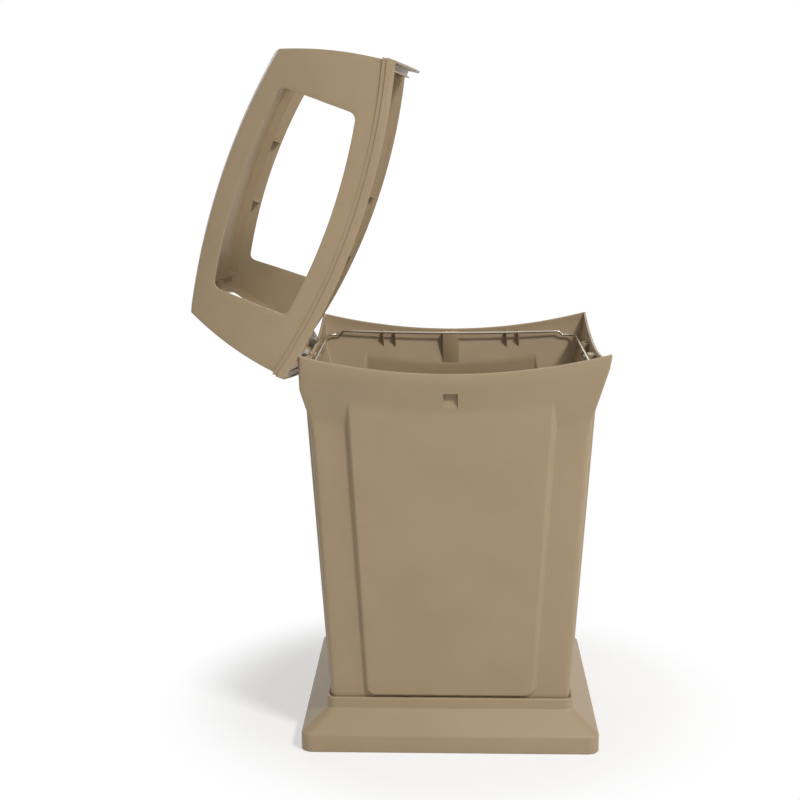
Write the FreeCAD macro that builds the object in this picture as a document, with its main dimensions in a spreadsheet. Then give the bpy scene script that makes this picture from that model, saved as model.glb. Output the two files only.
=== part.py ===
import FreeCAD, Part
import math
import os
import re
import Sketcher

# Waste bin with a hinged domed hood. +X is the latch side, +Y the rear, +Z up.
# The origin is the middle of the underside, on the floor. The hood stands open.

os.makedirs("parts", exist_ok=True)
doc = FreeCAD.newDocument("waste_bin")

SIZES = {
    # body: the rim sets the plan size, and the shaft stands in from it
    "rim_half": 307.3,
    "rim_mid": 773.0,
    "rim_sag": 39.0,
    "rim_lip": 15.0,
    "flare_slope_share": 0.3065,
    "flare_depth": 150.0,
    "flare_reach": 69.7,
    "flare_rise": 73.0,
    "hinge_setback": 15.7,
    "body_foot": 20.0,
    "body_taper_share": 0.0563,
    "body_corner": 12.0,
    "body_wall": 5.0,
    "body_floor": 6.0,
    # pedestal round the foot of the shaft
    "base_spread": 61.9,
    "base_band": 36.5,
    "base_shoulder": 75.0,
    "base_lip_spread": 12.4,
    "base_top": 98.0,
    "base_wall": 5.0,
    "base_corner": 24.0,
    "base_lip_corner": 18.0,
    "base_fit": 1.0,
    "boss_radius": 26.0,
    "bolt_inset": 72.6,
    # raised panels of the body
    "panel_foot": 103.0,
    "panel_stop": 30.0,
    "panel_margin": 71.6,
    "panel_spread_share": 0.0525,
    "panel_proud": 8.3,
    "panel_lean_share": 0.0633,
    "panel_bevel": 21.0,
    "panel_foot_bevel": 4.0,
    "panel_depth": 15.0,
    # pocket under the rim, and the post behind it
    "pocket_half": 14.0,
    "pocket_drop": 40.0,
    "pocket_height": 29.0,
    "pocket_depth": 10.0,
    "post_half": 18.0,
    "post_height": 74.0,
    # ribs that carry the bag ring
    "rib_near": 127.0,
    "rib_far": 154.0,
    "rib_thick": 3.0,
    "rib_height": 31.0,
    "rib_tip": 3.5,
    "rib_step": 7.0,
    "rib_root": 9.0,
    # bag ring
    "wire_radius": 2.5,
    "ring_inset": 24.3,
    "ring_hinge_inset": 13.0,
    "ring_below": 3.0,
    "ring_drop": 8.0,
    "ring_corner": 20.0,
    "ring_jog_run": 12.0,
    "ring_stub": 3.6,
    "seat_gap": 0.3,
    "seat_run": 4.0,
    # hood: its band stands out from the body's rim and laps over it
    "hood_reach": 8.7,
    "hood_overlap": 18.0,
    "hood_play": 0.5,
    "hood_wall": 4.0,
    "hood_wall_in": 3.5,
    "hood_wall_radius": 715.0,
    "hood_wall_drop": 50.0,
    "dome_radius": 1405.0,
    "dome_height": 264.0,
    "band_height": 24.5,
    "band_step": 16.5,
    "band_step_in": 2.0,
    "skirt_wall": 4.0,
    "ledge_thick": 3.0,
    "flange_clear": 3.3,
    "flange_thick": 3.0,
    "flange_lift": 6.5,
    "flange_stop_in": 33.6,
    "flange_gap": 3.0,
    "flange_play": 1.5,
    "hinge_relief": 21.5,
    "relief_in": 45.3,
    # hood windows
    "window_post": 116.0,
    "window_foot": 18.5,
    "window_head": 57.5,
    "window_sag": 18.0,
    "window_corner": 16.0,
    # gutter and brackets under the dome
    "gutter_inset": 77.0,
    "gutter_depth": 22.0,
    "gutter_thick": 3.0,
    "bracket_place": 70.0,
    "bracket_thick": 4.0,
    "bracket_depth": 34.0,
    # hinges
    "hinge_out": 3.86,
    "hinge_rise": 4.83,
    "hinge_y": 95.0,
    "open_angle": 70.0,
    "knuckle_radius": 6.0,
    "pin_radius": 3.0,
    "pin_fit": 0.05,
    "pin_head": 4.5,
    "pin_head_thick": 1.5,
    "leaf_half": 25.0,
    "leaf_thick": 2.0,
    "leaf_tongue_half": 10.0,
    "leaf_drop": 40.0,
    "leaf_rise": 33.0,
    "leaf_play": 0.3,
    "leaf_clear": 1.5,
    "pad_half": 27.0,
    "rivet_place": 15.0,
    "rivet_radius": 2.4,
    "rivet_head": 4.5,
    "rivet_head_thick": 2.2,
    "rivet_drop": 28.0,
    "screw_rise": 21.0,
    "screw_grip": 6.0,
    "hole_fit": 0.1,
    # base bolts
    "bolt_radius": 4.0,
    "bolt_head_radius": 7.5,
    "bolt_head_thick": 5.3,
    "bolt_tail": 3.0,
    "washer_radius": 10.0,
    "washer_thick": 1.6,
    "nut_radius": 7.5,
    "nut_thick": 6.5,
    # how far a cutting shape runs past what it cuts
    "overrun": 20.0,
}

# Sizes that follow from those above, so that what fits together keeps its fit.
WORKED_OUT = {
    "body_foot_half": "rim_half - flare_reach",
    "shaft_top": "rim_mid - flare_rise",
    "hinge_wall_half": "rim_half - hinge_setback",
    "base_half": "body_foot_half + base_spread",
    "base_lip_half": "body_foot_half + base_lip_spread",
    "bolt_place": "body_foot_half - bolt_inset",
    "panel_foot_half": "body_foot_half - panel_margin",
    "panel_rise": "rim_mid - panel_foot - panel_stop",
    "pocket_top": "rim_mid - pocket_drop",
    "ring_half": "rim_half - ring_inset",
    "ring_hinge_half": "hinge_wall_half - ring_hinge_inset",
    "ring_level": "rim_mid - ring_below",
    "ring_jog": "ring_hinge_half - ring_corner - ring_stub - ring_jog_run",
    "hood_half": "rim_half + hood_reach",
    "hood_sag": "rim_sag + hood_play",
    "hood_wall_half": "hood_half - hood_wall_in",
    "band_step_half": "hood_half - band_step_in",
    "flange_half": "rim_half - body_wall - flange_clear",
    "flange_end": "hinge_wall_half - flange_stop_in",
    "relief_half": "rim_half - relief_in",
    "window_half": "hood_half - window_post",
    "window_top": "dome_height - window_head",
    "gutter_half": "hood_half - gutter_inset",
    "hinge_x": "hinge_wall_half + hinge_out",
    "hinge_z": "rim_mid + hinge_rise",
}

sheet = doc.addObject("Spreadsheet::Sheet", "sizes")
for row, (alias, value) in enumerate(SIZES.items(), 1):
    sheet.set(f"A{row}", alias)
    sheet.set(f"B{row}", str(value))
    sheet.setAlias(f"B{row}", alias)
doc.recompute()


def formula(text):
    """The expression with worked out sizes written out and the rest as references to the sheet."""
    worked_out = re.compile(rf"\b({'|'.join(WORKED_OUT)})\b")
    while worked_out.search(text):
        text = worked_out.sub(lambda word: f"({WORKED_OUT[word[0]]})", text)
    return re.sub(rf"\b({'|'.join(SIZES)})\b", r"sizes.\1", text)


def bind(made, where, text):
    made.setExpression(where, formula(text))


def place(made, x, y, z):
    for axis, text in zip("xyz", (x, y, z)):
        bind(made, f"Placement.Base.{axis}", text)


def turn(made, axis, degrees):
    rotation = FreeCAD.Rotation(FreeCAD.Vector(*axis), degrees)
    made.Placement = FreeCAD.Placement(FreeCAD.Vector(), rotation)


def box(name, xs, ys, zs):
    """A box between the low and high values given for each axis."""
    made = doc.addObject("Part::Box", name)
    for size, (low, high) in zip(("Length", "Width", "Height"), (xs, ys, zs)):
        bind(made, size, f"({high}) - ({low})")
    place(made, xs[0], ys[0], zs[0])
    return made


AXES = {"x": (1, 0, 0), "y": (0, 1, 0), "z": (0, 0, 1)}


def rod(name, axis, radius, length, x, y, z):
    """A cylinder along an axis, from the point given, with its seam on top where it lies."""
    made = doc.addObject("Part::Cylinder", name)
    way = FreeCAD.Vector(*AXES[axis])
    seam = FreeCAD.Vector(*AXES["x" if axis == "z" else "z"])
    rotation = FreeCAD.Rotation(seam, FreeCAD.Vector(), way, "ZXY")
    made.Placement = FreeCAD.Placement(FreeCAD.Vector(), rotation)
    bind(made, "Radius", radius)
    bind(made, "Height", length)
    place(made, x, y, z)
    return made


def cone(name, axis, degrees, radii, length, x, y, z):
    made = doc.addObject("Part::Cone", name)
    turn(made, axis, degrees)
    bind(made, "Radius1", radii[0])
    bind(made, "Radius2", radii[1])
    bind(made, "Height", length)
    place(made, x, y, z)
    return made


def ball(name, radius, x, y, z):
    """A sphere whose seam faces down."""
    made = doc.addObject("Part::Sphere", name)
    turn(made, (0, 1, 0), 90)
    bind(made, "Radius", radius)
    place(made, x, y, z)
    return made


def fuse(name, pieces):
    made = doc.addObject("Part::MultiFuse", name)
    made.Shapes = pieces
    made.Refine = False
    return made


def common(name, pieces):
    """What all the pieces share, taken two at a time."""
    kept = pieces[0]
    for n, piece in enumerate(pieces[1:], 1):
        made = doc.addObject("Part::Common", f"{name}_{n}")
        made.Base = kept
        made.Tool = piece
        made.Refine = False
        kept = made
    return kept


def cut(name, kept, taken):
    made = doc.addObject("Part::Cut", name)
    made.Base = kept
    made.Tool = taken
    made.Refine = False
    return made


def turned(name, piece, degrees):
    """The piece turned about the upright axis."""
    made = doc.addObject("Part::Compound", name)
    made.Links = [piece]
    turn(made, (0, 0, 1), degrees)
    return made


def rounded_edges(name, piece, radius, chosen):
    """Fillets on the edges that the test chooses."""
    doc.recompute()
    made = doc.addObject("Part::Fillet", name)
    made.Base = piece
    size = sheet.get(radius)
    made.Edges = [(n, size, size) for n, edge in enumerate(piece.Shape.Edges, 1) if chosen(edge)]
    return made


def along(axis):
    """A test for straight edges along an axis."""
    way = FreeCAD.Vector(*axis)

    def test(edge):
        return isinstance(edge.Curve, Part.Line) and abs(edge.Curve.Direction.dot(way)) > 1 - 1e-6

    return test


def square_ring(name, half, corner, level):
    """A sketch of a square with round corners, flat at the level."""
    made = doc.addObject("Sketcher::SketchObject", name)
    h, r = 2.0, 1.0
    q = h - r
    turn_points = [((-q, -h), (q, -h)), ((h, -q), (h, q)), ((q, h), (-q, h)), ((-h, q), (-h, -q))]
    centres = [(q, -q), (q, q), (-q, q), (-q, -q)]
    right = math.pi / 2
    starts = [-right, 0.0, right, 2 * right]
    up = FreeCAD.Vector(0, 0, 1)
    for (start, end), centre, first in zip(turn_points, centres, starts):
        made.addGeometry(Part.LineSegment(FreeCAD.Vector(*start, 0), FreeCAD.Vector(*end, 0)))
        bend = Part.Circle(FreeCAD.Vector(*centre, 0), up, r)
        made.addGeometry(Part.ArcOfCircle(bend, first, first + right))
    for n in range(8):
        made.addConstraint(Sketcher.Constraint("Tangent", n, 2, (n + 1) % 8, 1))
    for n in (0, 4):
        made.addConstraint(Sketcher.Constraint("Horizontal", n))
    for n in (2, 6):
        made.addConstraint(Sketcher.Constraint("Vertical", n))
    for n in (3, 5, 7):
        made.addConstraint(Sketcher.Constraint("Equal", 1, n))
    made.addConstraint(Sketcher.Constraint("Symmetric", 1, 3, 5, 3, -1, 1))
    wide = made.addConstraint(Sketcher.Constraint("DistanceX", -1, 1, 2, 1, h))
    deep = made.addConstraint(Sketcher.Constraint("DistanceY", -1, 1, 4, 1, h))
    round_off = made.addConstraint(Sketcher.Constraint("Radius", 1, r))
    bind(made, f"Constraints[{wide}]", half)
    bind(made, f"Constraints[{deep}]", half)
    bind(made, f"Constraints[{round_off}]", corner)
    place(made, "0", "0", level)
    return made


def square_loft(name, *sections):
    """A solid through square sections, each a half width, a corner radius and a level."""
    made = doc.addObject("Part::Loft", name)
    rings = [square_ring(f"{name}_section_{n}", *section) for n, section in enumerate(sections)]
    made.Sections = rings
    made.Solid = True
    made.Ruled = True
    return made


def node(piece, name):
    """Name a finished sub-part."""
    piece.Label = name
    nodes.append(piece)
    return piece


nodes = []


# Pedestal: a closed tray with a sloped shoulder and a square lip round the body's foot.
# The inside follows the outside by one wall, and four raised bosses carry the body.
BASE_SLOPE = "((base_shoulder - base_band) / (base_half - base_lip_half))"
BASE_THIN = f"(base_wall * sqrt(1 + {BASE_SLOPE} ^ 2))"
BASE_BEND = f"(base_band + base_wall * {BASE_SLOPE} - {BASE_THIN})"
FOOT_HALF = "(body_foot_half + body_taper_share * (base_top - body_foot))"
MOUTH_HALF = f"({FOOT_HALF} + base_fit)"
BASE_RISE = f"({BASE_BEND} + (base_half - base_wall - {MOUTH_HALF}) * {BASE_SLOPE})"

base_outside = fuse("base_outside", [
    square_loft(
        "base_band_block",
        ("base_half", "base_corner", "0"),
        ("base_half", "base_corner", "base_band"),
    ),
    square_loft(
        "base_shoulder_block",
        ("base_half", "base_corner", "base_band"),
        ("base_lip_half", "base_lip_corner", "base_shoulder"),
    ),
    square_loft(
        "base_lip_block",
        ("base_lip_half", "base_lip_corner", "base_shoulder"),
        ("base_lip_half", "base_lip_corner", "base_top"),
    ),
])
inner_corner = "(base_corner - base_wall)"
base_inside = fuse("base_inside", [
    square_loft(
        "base_hollow_low",
        ("base_half - base_wall", inner_corner, "base_wall"),
        ("base_half - base_wall", inner_corner, BASE_BEND),
    ),
    square_loft(
        "base_hollow_slope",
        ("base_half - base_wall", inner_corner, BASE_BEND),
        (MOUTH_HALF, "body_corner", BASE_RISE),
    ),
    square_loft(
        "base_mouth",
        (MOUTH_HALF, "body_corner", BASE_RISE),
        (MOUTH_HALF, "body_corner", "base_top + overrun"),
    ),
])
CORNERS = [("bolt_place", "bolt_place"), ("-bolt_place", "bolt_place"),
           ("-bolt_place", "-bolt_place"), ("bolt_place", "-bolt_place")]
bosses = fuse("bosses", [
    rod(f"boss_{n}", "z", "boss_radius", "body_foot", x, y, "0") for n, (x, y) in enumerate(CORNERS)
])
HOLLOW_RISE = "body_foot - base_wall + overrun"
boss_hollows = fuse("boss_hollows", [
    rod(f"boss_hollow_{n}", "z", "boss_radius - base_wall", HOLLOW_RISE, x, y, "-overrun")
    for n, (x, y) in enumerate(CORNERS)
])
BOLT_BORE = "bolt_radius + hole_fit"
BOLT_RISE = "body_foot + body_floor + 2 * overrun"
bolt_holes = fuse("bolt_holes", [
    rod(f"bolt_hole_{n}", "z", BOLT_BORE, BOLT_RISE, x, y, "-overrun")
    for n, (x, y) in enumerate(CORNERS)
])
base_tray = cut("base_tray", base_outside, base_inside)
base_with_bosses = fuse("base_with_bosses", [base_tray, bosses])
base_drilled = cut("base_drilled", base_with_bosses, fuse("base_drills", [boss_hollows, bolt_holes]))
node(base_drilled, "base_skirt")

# Body: a tapered shaft whose top flares out to a rim that sags in the middle of each side.
# The flare is bounded by cones that share the rim's arcs, so it follows the sag.
RIM_RADIUS = "((rim_half ^ 2 + rim_sag ^ 2) / (2 * rim_sag))"
RIM_CENTRE = f"(rim_mid + {RIM_RADIUS})"
RIM_TOP = "(rim_mid + rim_sag)"


def shaft(name, inset, foot):
    """The tapered shaft, drawn in by the inset and starting at the level given."""
    half = "(body_foot_half + body_taper_share * ({} - body_foot) - {})"
    corner = f"(body_corner - {inset} / 2)"
    return square_loft(
        name,
        (half.format(foot, inset), corner, foot),
        (half.format("shaft_top", inset), corner, "shaft_top"),
    )


def flare(name, inset):
    """The block inside the four cones of the flare."""
    half = f"(rim_half - {inset})"
    near = f"({RIM_RADIUS} + rim_lip)"
    far = f"({near} + 2 * {half} / flare_slope_share)"
    out = f"-{half}"
    length = f"(2 * {half})"
    sides = [
        cone(f"{name}_front", (1, 0, 0), -90, (near, far), length, "0", out, RIM_CENTRE),
        cone(f"{name}_rear", (1, 0, 0), 90, (near, far), length, "0", half, RIM_CENTRE),
        cone(f"{name}_left", (0, 1, 0), 90, (near, far), length, out, "0", RIM_CENTRE),
        cone(f"{name}_right", (0, 1, 0), -90, (near, far), length, half, "0", RIM_CENTRE),
    ]
    block = square_loft(
        f"{name}_block",
        (half, f"(body_corner - {inset} / 2)", "rim_mid - flare_depth"),
        (half, f"(body_corner - {inset} / 2)", f"{RIM_TOP} + overrun"),
    )
    return common(name, [block, *sides])


def panel_outline(name, inset, depth, bevel, foot_bevel):
    """The panel's outline at a depth behind its face, grown by the bevels there."""
    sketch = doc.addObject("Sketcher::SketchObject", name)
    turn(sketch, (1, 0, 0), 90)
    place(sketch, "0", depth, "0")
    low, high = 1.0, 2.0
    points = [(-low, low), (low, low), (high, high), (-high, high)]
    for n, start in enumerate(points):
        end = points[(n + 1) % len(points)]
        sketch.addGeometry(Part.LineSegment(FreeCAD.Vector(*start, 0), FreeCAD.Vector(*end, 0)))
    for n in range(4):
        sketch.addConstraint(Sketcher.Constraint("Coincident", n, 2, (n + 1) % 4, 1))
    sketch.addConstraint(Sketcher.Constraint("Symmetric", 0, 1, 0, 2, -2))
    sketch.addConstraint(Sketcher.Constraint("Symmetric", 2, 1, 2, 2, -2))
    half = f"(panel_foot_half - {inset} + {bevel})"
    sizes = [
        ("DistanceX", (0, 1, 0, 2), 2 * low, f"2 * {half}"),
        ("DistanceX", (2, 2, 2, 1), 2 * high, f"2 * ({half} + panel_spread_share * panel_rise)"),
        ("DistanceY", (-1, 1, 0, 1), low, f"overrun + {inset} - {foot_bevel}"),
        ("DistanceY", (-1, 1, 2, 1), high, "overrun + panel_rise"),
    ]
    for kind, where, guess, text in sizes:
        number = sketch.addConstraint(Sketcher.Constraint(kind, *where, guess))
        bind(sketch, f"Constraints[{number}]", text)
    return sketch


def panel_side(name, inset):
    """One raised panel: a slab with bevelled sides, wider at the top, leaning out with the wall."""
    slab = doc.addObject("Part::Loft", f"{name}_slab")
    slab.Sections = [
        panel_outline(f"{name}_face", inset, "0", "0", "0"),
        panel_outline(f"{name}_back", inset, "panel_depth", "panel_bevel", "panel_foot_bevel"),
    ]
    slab.Solid = True
    slab.Ruled = True
    made = doc.addObject("Part::Compound", name)
    made.Links = [slab]
    turn(made, (1, 0, 0), 1)
    bind(made, "Placement.Rotation.Angle", "atan(panel_lean_share)")
    wall_half = "(body_foot_half + body_taper_share * (panel_foot - body_foot))"
    face = f"({wall_half} + panel_proud - {inset})"
    place(made, "0", f"-{face} + panel_lean_share * overrun", "panel_foot - overrun")
    return made


def body_block(name, inset, foot):
    """The solid form of the body, drawn in by the inset: shaft, flare and four panels."""
    side = panel_side(f"{name}_panel", inset)
    panels = [turned(f"{name}_panel_{n}", side, 90 * n) for n in range(4)]
    column = [shaft(f"{name}_shaft", inset, foot), flare(f"{name}_flare", inset)]
    whole = fuse(f"{name}_whole", column + panels)
    room = box(
        f"{name}_room",
        (f"-(hinge_wall_half - {inset})", "rim_half"),
        ("-rim_half", "rim_half"),
        ("0", f"{RIM_TOP} + overrun"),
    )
    return common(name, [whole, room])


body_outside = body_block("body_outside", "0", "body_foot")
body_inside = body_block("body_inside", "body_wall", "(body_foot + body_floor)")
RIM_START = "-(rim_half + overrun)"
RIM_REACH = "2 * (rim_half + overrun)"
rim_arcs = [
    rod("rim_arc_y", "y", RIM_RADIUS, RIM_REACH, "0", RIM_START, RIM_CENTRE),
    rod("rim_arc_x", "x", RIM_RADIUS, RIM_REACH, RIM_START, "0", RIM_CENTRE),
]

# Ribs inside each wall carry the bag ring on a step, and a post stands behind each pocket.
# All are clipped by the body's outer form, so that each grows out of its wall.
SEAT = "(ring_level - wire_radius - seat_gap)"


def front_wedge(name, sides, levels, near, far):
    """A wedge standing on the front: its near depth is given at the foot and at the top."""
    made = doc.addObject("Part::Wedge", name)
    turn(made, (1, 0, 0), 90)
    for n, end in enumerate(("min", "max")):
        bind(made, f"X{end}", sides[n])
        bind(made, f"X2{end}", sides[n])
        bind(made, f"Y{end}", levels[n])
    bind(made, "Zmin", near[0])
    bind(made, "Z2min", near[1])
    bind(made, "Zmax", far)
    bind(made, "Z2max", far)
    return made


def rib(name, middle, half_thick, ring, seat, drop):
    """A rib on the front wall, with a step for the ring and a slanted lower edge."""
    sides = (f"({middle}) - ({half_thick})", f"({middle}) + ({half_thick})")
    tip = f"({ring} - seat_run)"
    root = f"({ring} + rib_root)"
    deep = f"({root} + overrun)"
    seat_foot = f"{seat} - rib_tip"
    return [
        front_wedge(f"{name}_slope", sides, (f"{seat_foot} - {drop}", seat_foot), (root, tip), deep),
        box(f"{name}_seat", sides, (f"-{deep}", f"-{tip}"), (seat_foot, seat)),
        box(f"{name}_back", sides, (f"-{deep}", f"-({ring} + seat_run)"), (seat, f"{seat} + rib_step")),
    ]


def wall_ribs(name, ring, seat):
    pieces = []
    for n, middle in enumerate(("rib_near", "rib_far", "-rib_near", "-rib_far")):
        pieces += rib(f"{name}_rib_{n}", middle, "rib_thick / 2", ring, seat, "rib_height")
    pieces += rib(f"{name}_post", "0", "post_half", ring, seat, "post_height")
    return fuse(name, pieces)


front_ribs = wall_ribs("front_ribs", "ring_half", SEAT)
side_ribs = wall_ribs("side_ribs", "ring_half", f"({SEAT} - ring_drop)")
hinge_ribs = wall_ribs("hinge_ribs", "ring_hinge_half", f"({SEAT} - ring_drop)")
ribs = common("ribs", [
    fuse("all_ribs", [
        front_ribs,
        turned("right_ribs", side_ribs, 90),
        turned("rear_ribs", front_ribs, 180),
        turned("left_ribs", hinge_ribs, 270),
    ]),
    body_outside,
])

POCKET_BACK = "(rim_half - flare_slope_share * (rim_mid - rim_lip - pocket_top) - pocket_depth)"
pocket_cut = box(
    "pocket_cut",
    ("-pocket_half", "pocket_half"),
    ("-(rim_half + overrun)", f"-{POCKET_BACK}"),
    ("pocket_top - pocket_height", "pocket_top"),
)
pockets = fuse("pockets", [turned(f"pocket_{n}", pocket_cut, 90 * n) for n in range(4)])

# The hinges sit in two notches of the rim on the left wall.
HINGES = {"front": "-hinge_y", "rear": "hinge_y"}
RIVETS = {
    f"{side}_{n}": f"{y} {offset}"
    for side, y in HINGES.items()
    for n, offset in enumerate(("- rivet_place", "+ rivet_place"))
}
RIVET_LEVEL = "(hinge_z - rivet_drop)"
HOLE = "rivet_radius + hole_fit"
notches = fuse("notches", [
    box(
        f"notch_{side}",
        ("-(hinge_wall_half + overrun)", "-(hinge_wall_half - body_wall - overrun)"),
        (f"{y} - pad_half", f"{y} + pad_half"),
        ("hinge_z - knuckle_radius - leaf_clear", f"{RIM_TOP} + overrun"),
    )
    for side, y in HINGES.items()
])
rivet_holes = fuse("rivet_holes", [
    rod(f"rivet_hole_{spot}", "x", HOLE, "body_wall + 2 * overrun", "-(hinge_wall_half + overrun)", y,
        RIVET_LEVEL)
    for spot, y in RIVETS.items()
])
body_shell = cut("body_hollow", body_outside, body_inside)
body_ribbed = fuse("body_ribbed", [body_shell, ribs])
body_arced = cut("body_arced_x", cut("body_arced_y", body_ribbed, rim_arcs[0]), rim_arcs[1])
body_open = cut("body_open", body_arced, fuse("body_openings", [pockets, notches]))
body_drilled = cut("body_drilled", body_open, fuse("body_drills", [rivet_holes, bolt_holes]))
node(body_drilled, "body_shell")

# Bolts come up through the bosses and the body's floor, with washers and nuts inside.
bolts, washers, nuts = [], [], []
for n, (x, y) in enumerate(CORNERS):
    head_low = "body_foot - base_wall - bolt_head_thick"
    head = doc.addObject("Part::Prism", f"bolt_head_{n}")
    head.Polygon = 6
    bind(head, "Circumradius", "bolt_head_radius")
    bind(head, "Height", "bolt_head_thick")
    place(head, x, y, head_low)
    reach = "base_wall + body_floor + washer_thick + nut_thick + bolt_tail"
    shank = rod(f"bolt_shank_{n}", "z", "bolt_radius", f"{reach} + bolt_head_thick", x, y, head_low)
    bolts.append(fuse(f"bolt_{n}", [head, shank]))
    floor_top = "body_foot + body_floor"
    disc = rod(f"washer_disc_{n}", "z", "washer_radius", "washer_thick", x, y, floor_top)
    bore = rod(f"washer_bore_{n}", "z", BOLT_BORE, "washer_thick + 2 * overrun", x, y,
               f"{floor_top} - overrun")
    washers.append(cut(f"washer_{n}", disc, bore))
    blank = doc.addObject("Part::Prism", f"nut_blank_{n}")
    blank.Polygon = 6
    bind(blank, "Circumradius", "nut_radius")
    bind(blank, "Height", "nut_thick")
    place(blank, x, y, f"{floor_top} + washer_thick")
    thread = rod(f"nut_bore_{n}", "z", BOLT_BORE, "nut_thick + 2 * overrun", x, y,
                 f"{floor_top} + washer_thick - overrun")
    nuts.append(cut(f"nut_{n}", blank, thread))


def group(name, pieces):
    made = doc.addObject("Part::Compound", f"{name}_group")
    made.Links = pieces
    return node(made, name)


group("base_bolts", bolts)
group("base_washers", washers)
group("base_nuts", nuts)

# Bag ring: a bent wire whose front and rear runs are raised over the ribs.
LOW = "(ring_level - ring_drop)"
JOG_END = "(ring_jog + ring_jog_run)"
JOG_FALL = "(90 deg + atan(ring_drop / ring_jog_run))"
RING_FLAT = "(ring_half - ring_corner)"
RING_HINGE_FLAT = "(ring_hinge_half - ring_corner)"
wire = []
for side, y in (("front", "-ring_half"), ("rear", "ring_half")):
    wire += [
        rod(f"ring_{side}", "x", "wire_radius", "2 * ring_jog", "-ring_jog", y, "ring_level"),
        rod(f"ring_{side}_right_stub", "x", "wire_radius", f"{RING_FLAT} - {JOG_END}", JOG_END, y, LOW),
        rod(f"ring_{side}_left_stub", "x", "wire_radius", f"{RING_HINGE_FLAT} - {JOG_END}",
            f"-{RING_HINGE_FLAT}", y, LOW),
    ]
    for hand, sign in (("left", "-"), ("right", "")):
        slant = doc.addObject("Part::Cylinder", f"ring_{side}_{hand}_jog")
        turn(slant, (0, 1, 0), 90)
        bind(slant, "Radius", "wire_radius")
        bind(slant, "Height", "sqrt(ring_jog_run ^ 2 + ring_drop ^ 2)")
        bind(slant, "Placement.Rotation.Angle", f"{sign}{JOG_FALL}")
        place(slant, f"{sign}ring_jog", y, "ring_level")
        wire += [
            slant,
            ball(f"ring_{side}_{hand}_upper_knee", "wire_radius", f"{sign}ring_jog", y, "ring_level"),
            ball(f"ring_{side}_{hand}_lower_knee", "wire_radius", f"{sign}{JOG_END}", y, LOW),
        ]
for hand, x in (("left", "-ring_hinge_half"), ("right", "ring_half")):
    wire.append(rod(f"ring_{hand}", "y", "wire_radius", f"2 * {RING_FLAT}", x, f"-{RING_FLAT}", LOW))
BENDS = (
    (RING_FLAT, RING_FLAT),
    (f"-{RING_HINGE_FLAT}", RING_FLAT),
    (f"-{RING_HINGE_FLAT}", f"-{RING_FLAT}"),
    (RING_FLAT, f"-{RING_FLAT}"),
)
for n, (x, y) in enumerate(BENDS):
    bend = doc.addObject("Part::Torus", f"ring_bend_{n}")
    bind(bend, "Radius1", "ring_corner")
    bind(bend, "Radius2", "wire_radius")
    bend.Angle3 = 90
    turn(bend, (0, 0, 1), 90 * n)
    place(bend, x, y, LOW)
    wire.append(bend)
node(fuse("ring_wire", wire), "bag_frame")


# Hood: four bulged walls under a shallow dome, modelled closed and then turned open.
# Its lip follows an arc on each side, and every level of the band is a parallel arc.
HOOD_RIM = "(rim_mid + rim_sag - hood_overlap)"
LIP_RADIUS = "((hood_half ^ 2 + hood_sag ^ 2) / (2 * hood_sag))"
LIP_CENTRE = f"({HOOD_RIM} - hood_sag + {LIP_RADIUS})"
LEDGE = "(band_height - ledge_thick)"
LIP_LOW = f"({HOOD_RIM} - hood_sag - overrun)"
HOOD_TOP = f"({HOOD_RIM} + dome_height)"
DOME_CENTRE = f"({HOOD_TOP} - dome_radius)"
HOOD_START = "-(hood_half + overrun)"
HOOD_REACH = "2 * (hood_half + overrun)"


def lip_rod(name, lift):
    """The cylinder of the front lip's arc, raised by the lift."""
    return rod(name, "y", f"{LIP_RADIUS} - ({lift})", HOOD_REACH, "0", HOOD_START, LIP_CENTRE)


def front_slab(name, far, near):
    """An upright slab across the front, between two distances from the middle."""
    return box(name, (HOOD_START, "hood_half + overrun"), (f"-({far})", f"-({near})"), (LIP_LOW, HOOD_TOP))


def square_bar(name, half):
    """A square block about the upright axis, as tall as the hood."""
    return box(name, (f"-({half})", half), (f"-({half})", half), (LIP_LOW, HOOD_TOP))


def hood_form(name, inset):
    """The space inside the four bulged walls and the dome, drawn in by the inset."""
    middle = "(hood_wall_half - sqrt(hood_wall_radius ^ 2 - hood_wall_drop ^ 2))"
    level = f"{HOOD_RIM} - hood_wall_drop"
    radius = f"hood_wall_radius - {inset}"
    return common(name, [
        rod(f"{name}_right", "y", radius, HOOD_REACH, middle, HOOD_START, level),
        rod(f"{name}_left", "y", radius, HOOD_REACH, f"-{middle}", HOOD_START, level),
        rod(f"{name}_rear", "x", radius, HOOD_REACH, HOOD_START, middle, level),
        rod(f"{name}_front", "x", radius, HOOD_REACH, HOOD_START, f"-{middle}", level),
        ball(f"{name}_dome", f"dome_radius - {inset}", "0", "0", DOME_CENTRE),
        square_bar(f"{name}_bar", "hood_half"),
    ])


# The front quarter is built alone, mitred at the corners, and then repeated on each side.
hood_outside = hood_form("hood_outside", "0")
hood_inside = hood_form("hood_inside", "hood_wall")
quarter_room = box("quarter_room", ("0", "2 * hood_half"), ("0", "2 * hood_half"),
                   (LIP_LOW, f"{HOOD_TOP} + overrun"))
quarter_wedge = turned("quarter_wedge", quarter_room, -135)
ledge_arc = lip_rod("ledge_arc", LEDGE)
hood_bowl = cut("hood_bowl", hood_outside, hood_inside)
quarter_walls = common("quarter_walls", [hood_bowl, quarter_wedge, ledge_arc])

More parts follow.
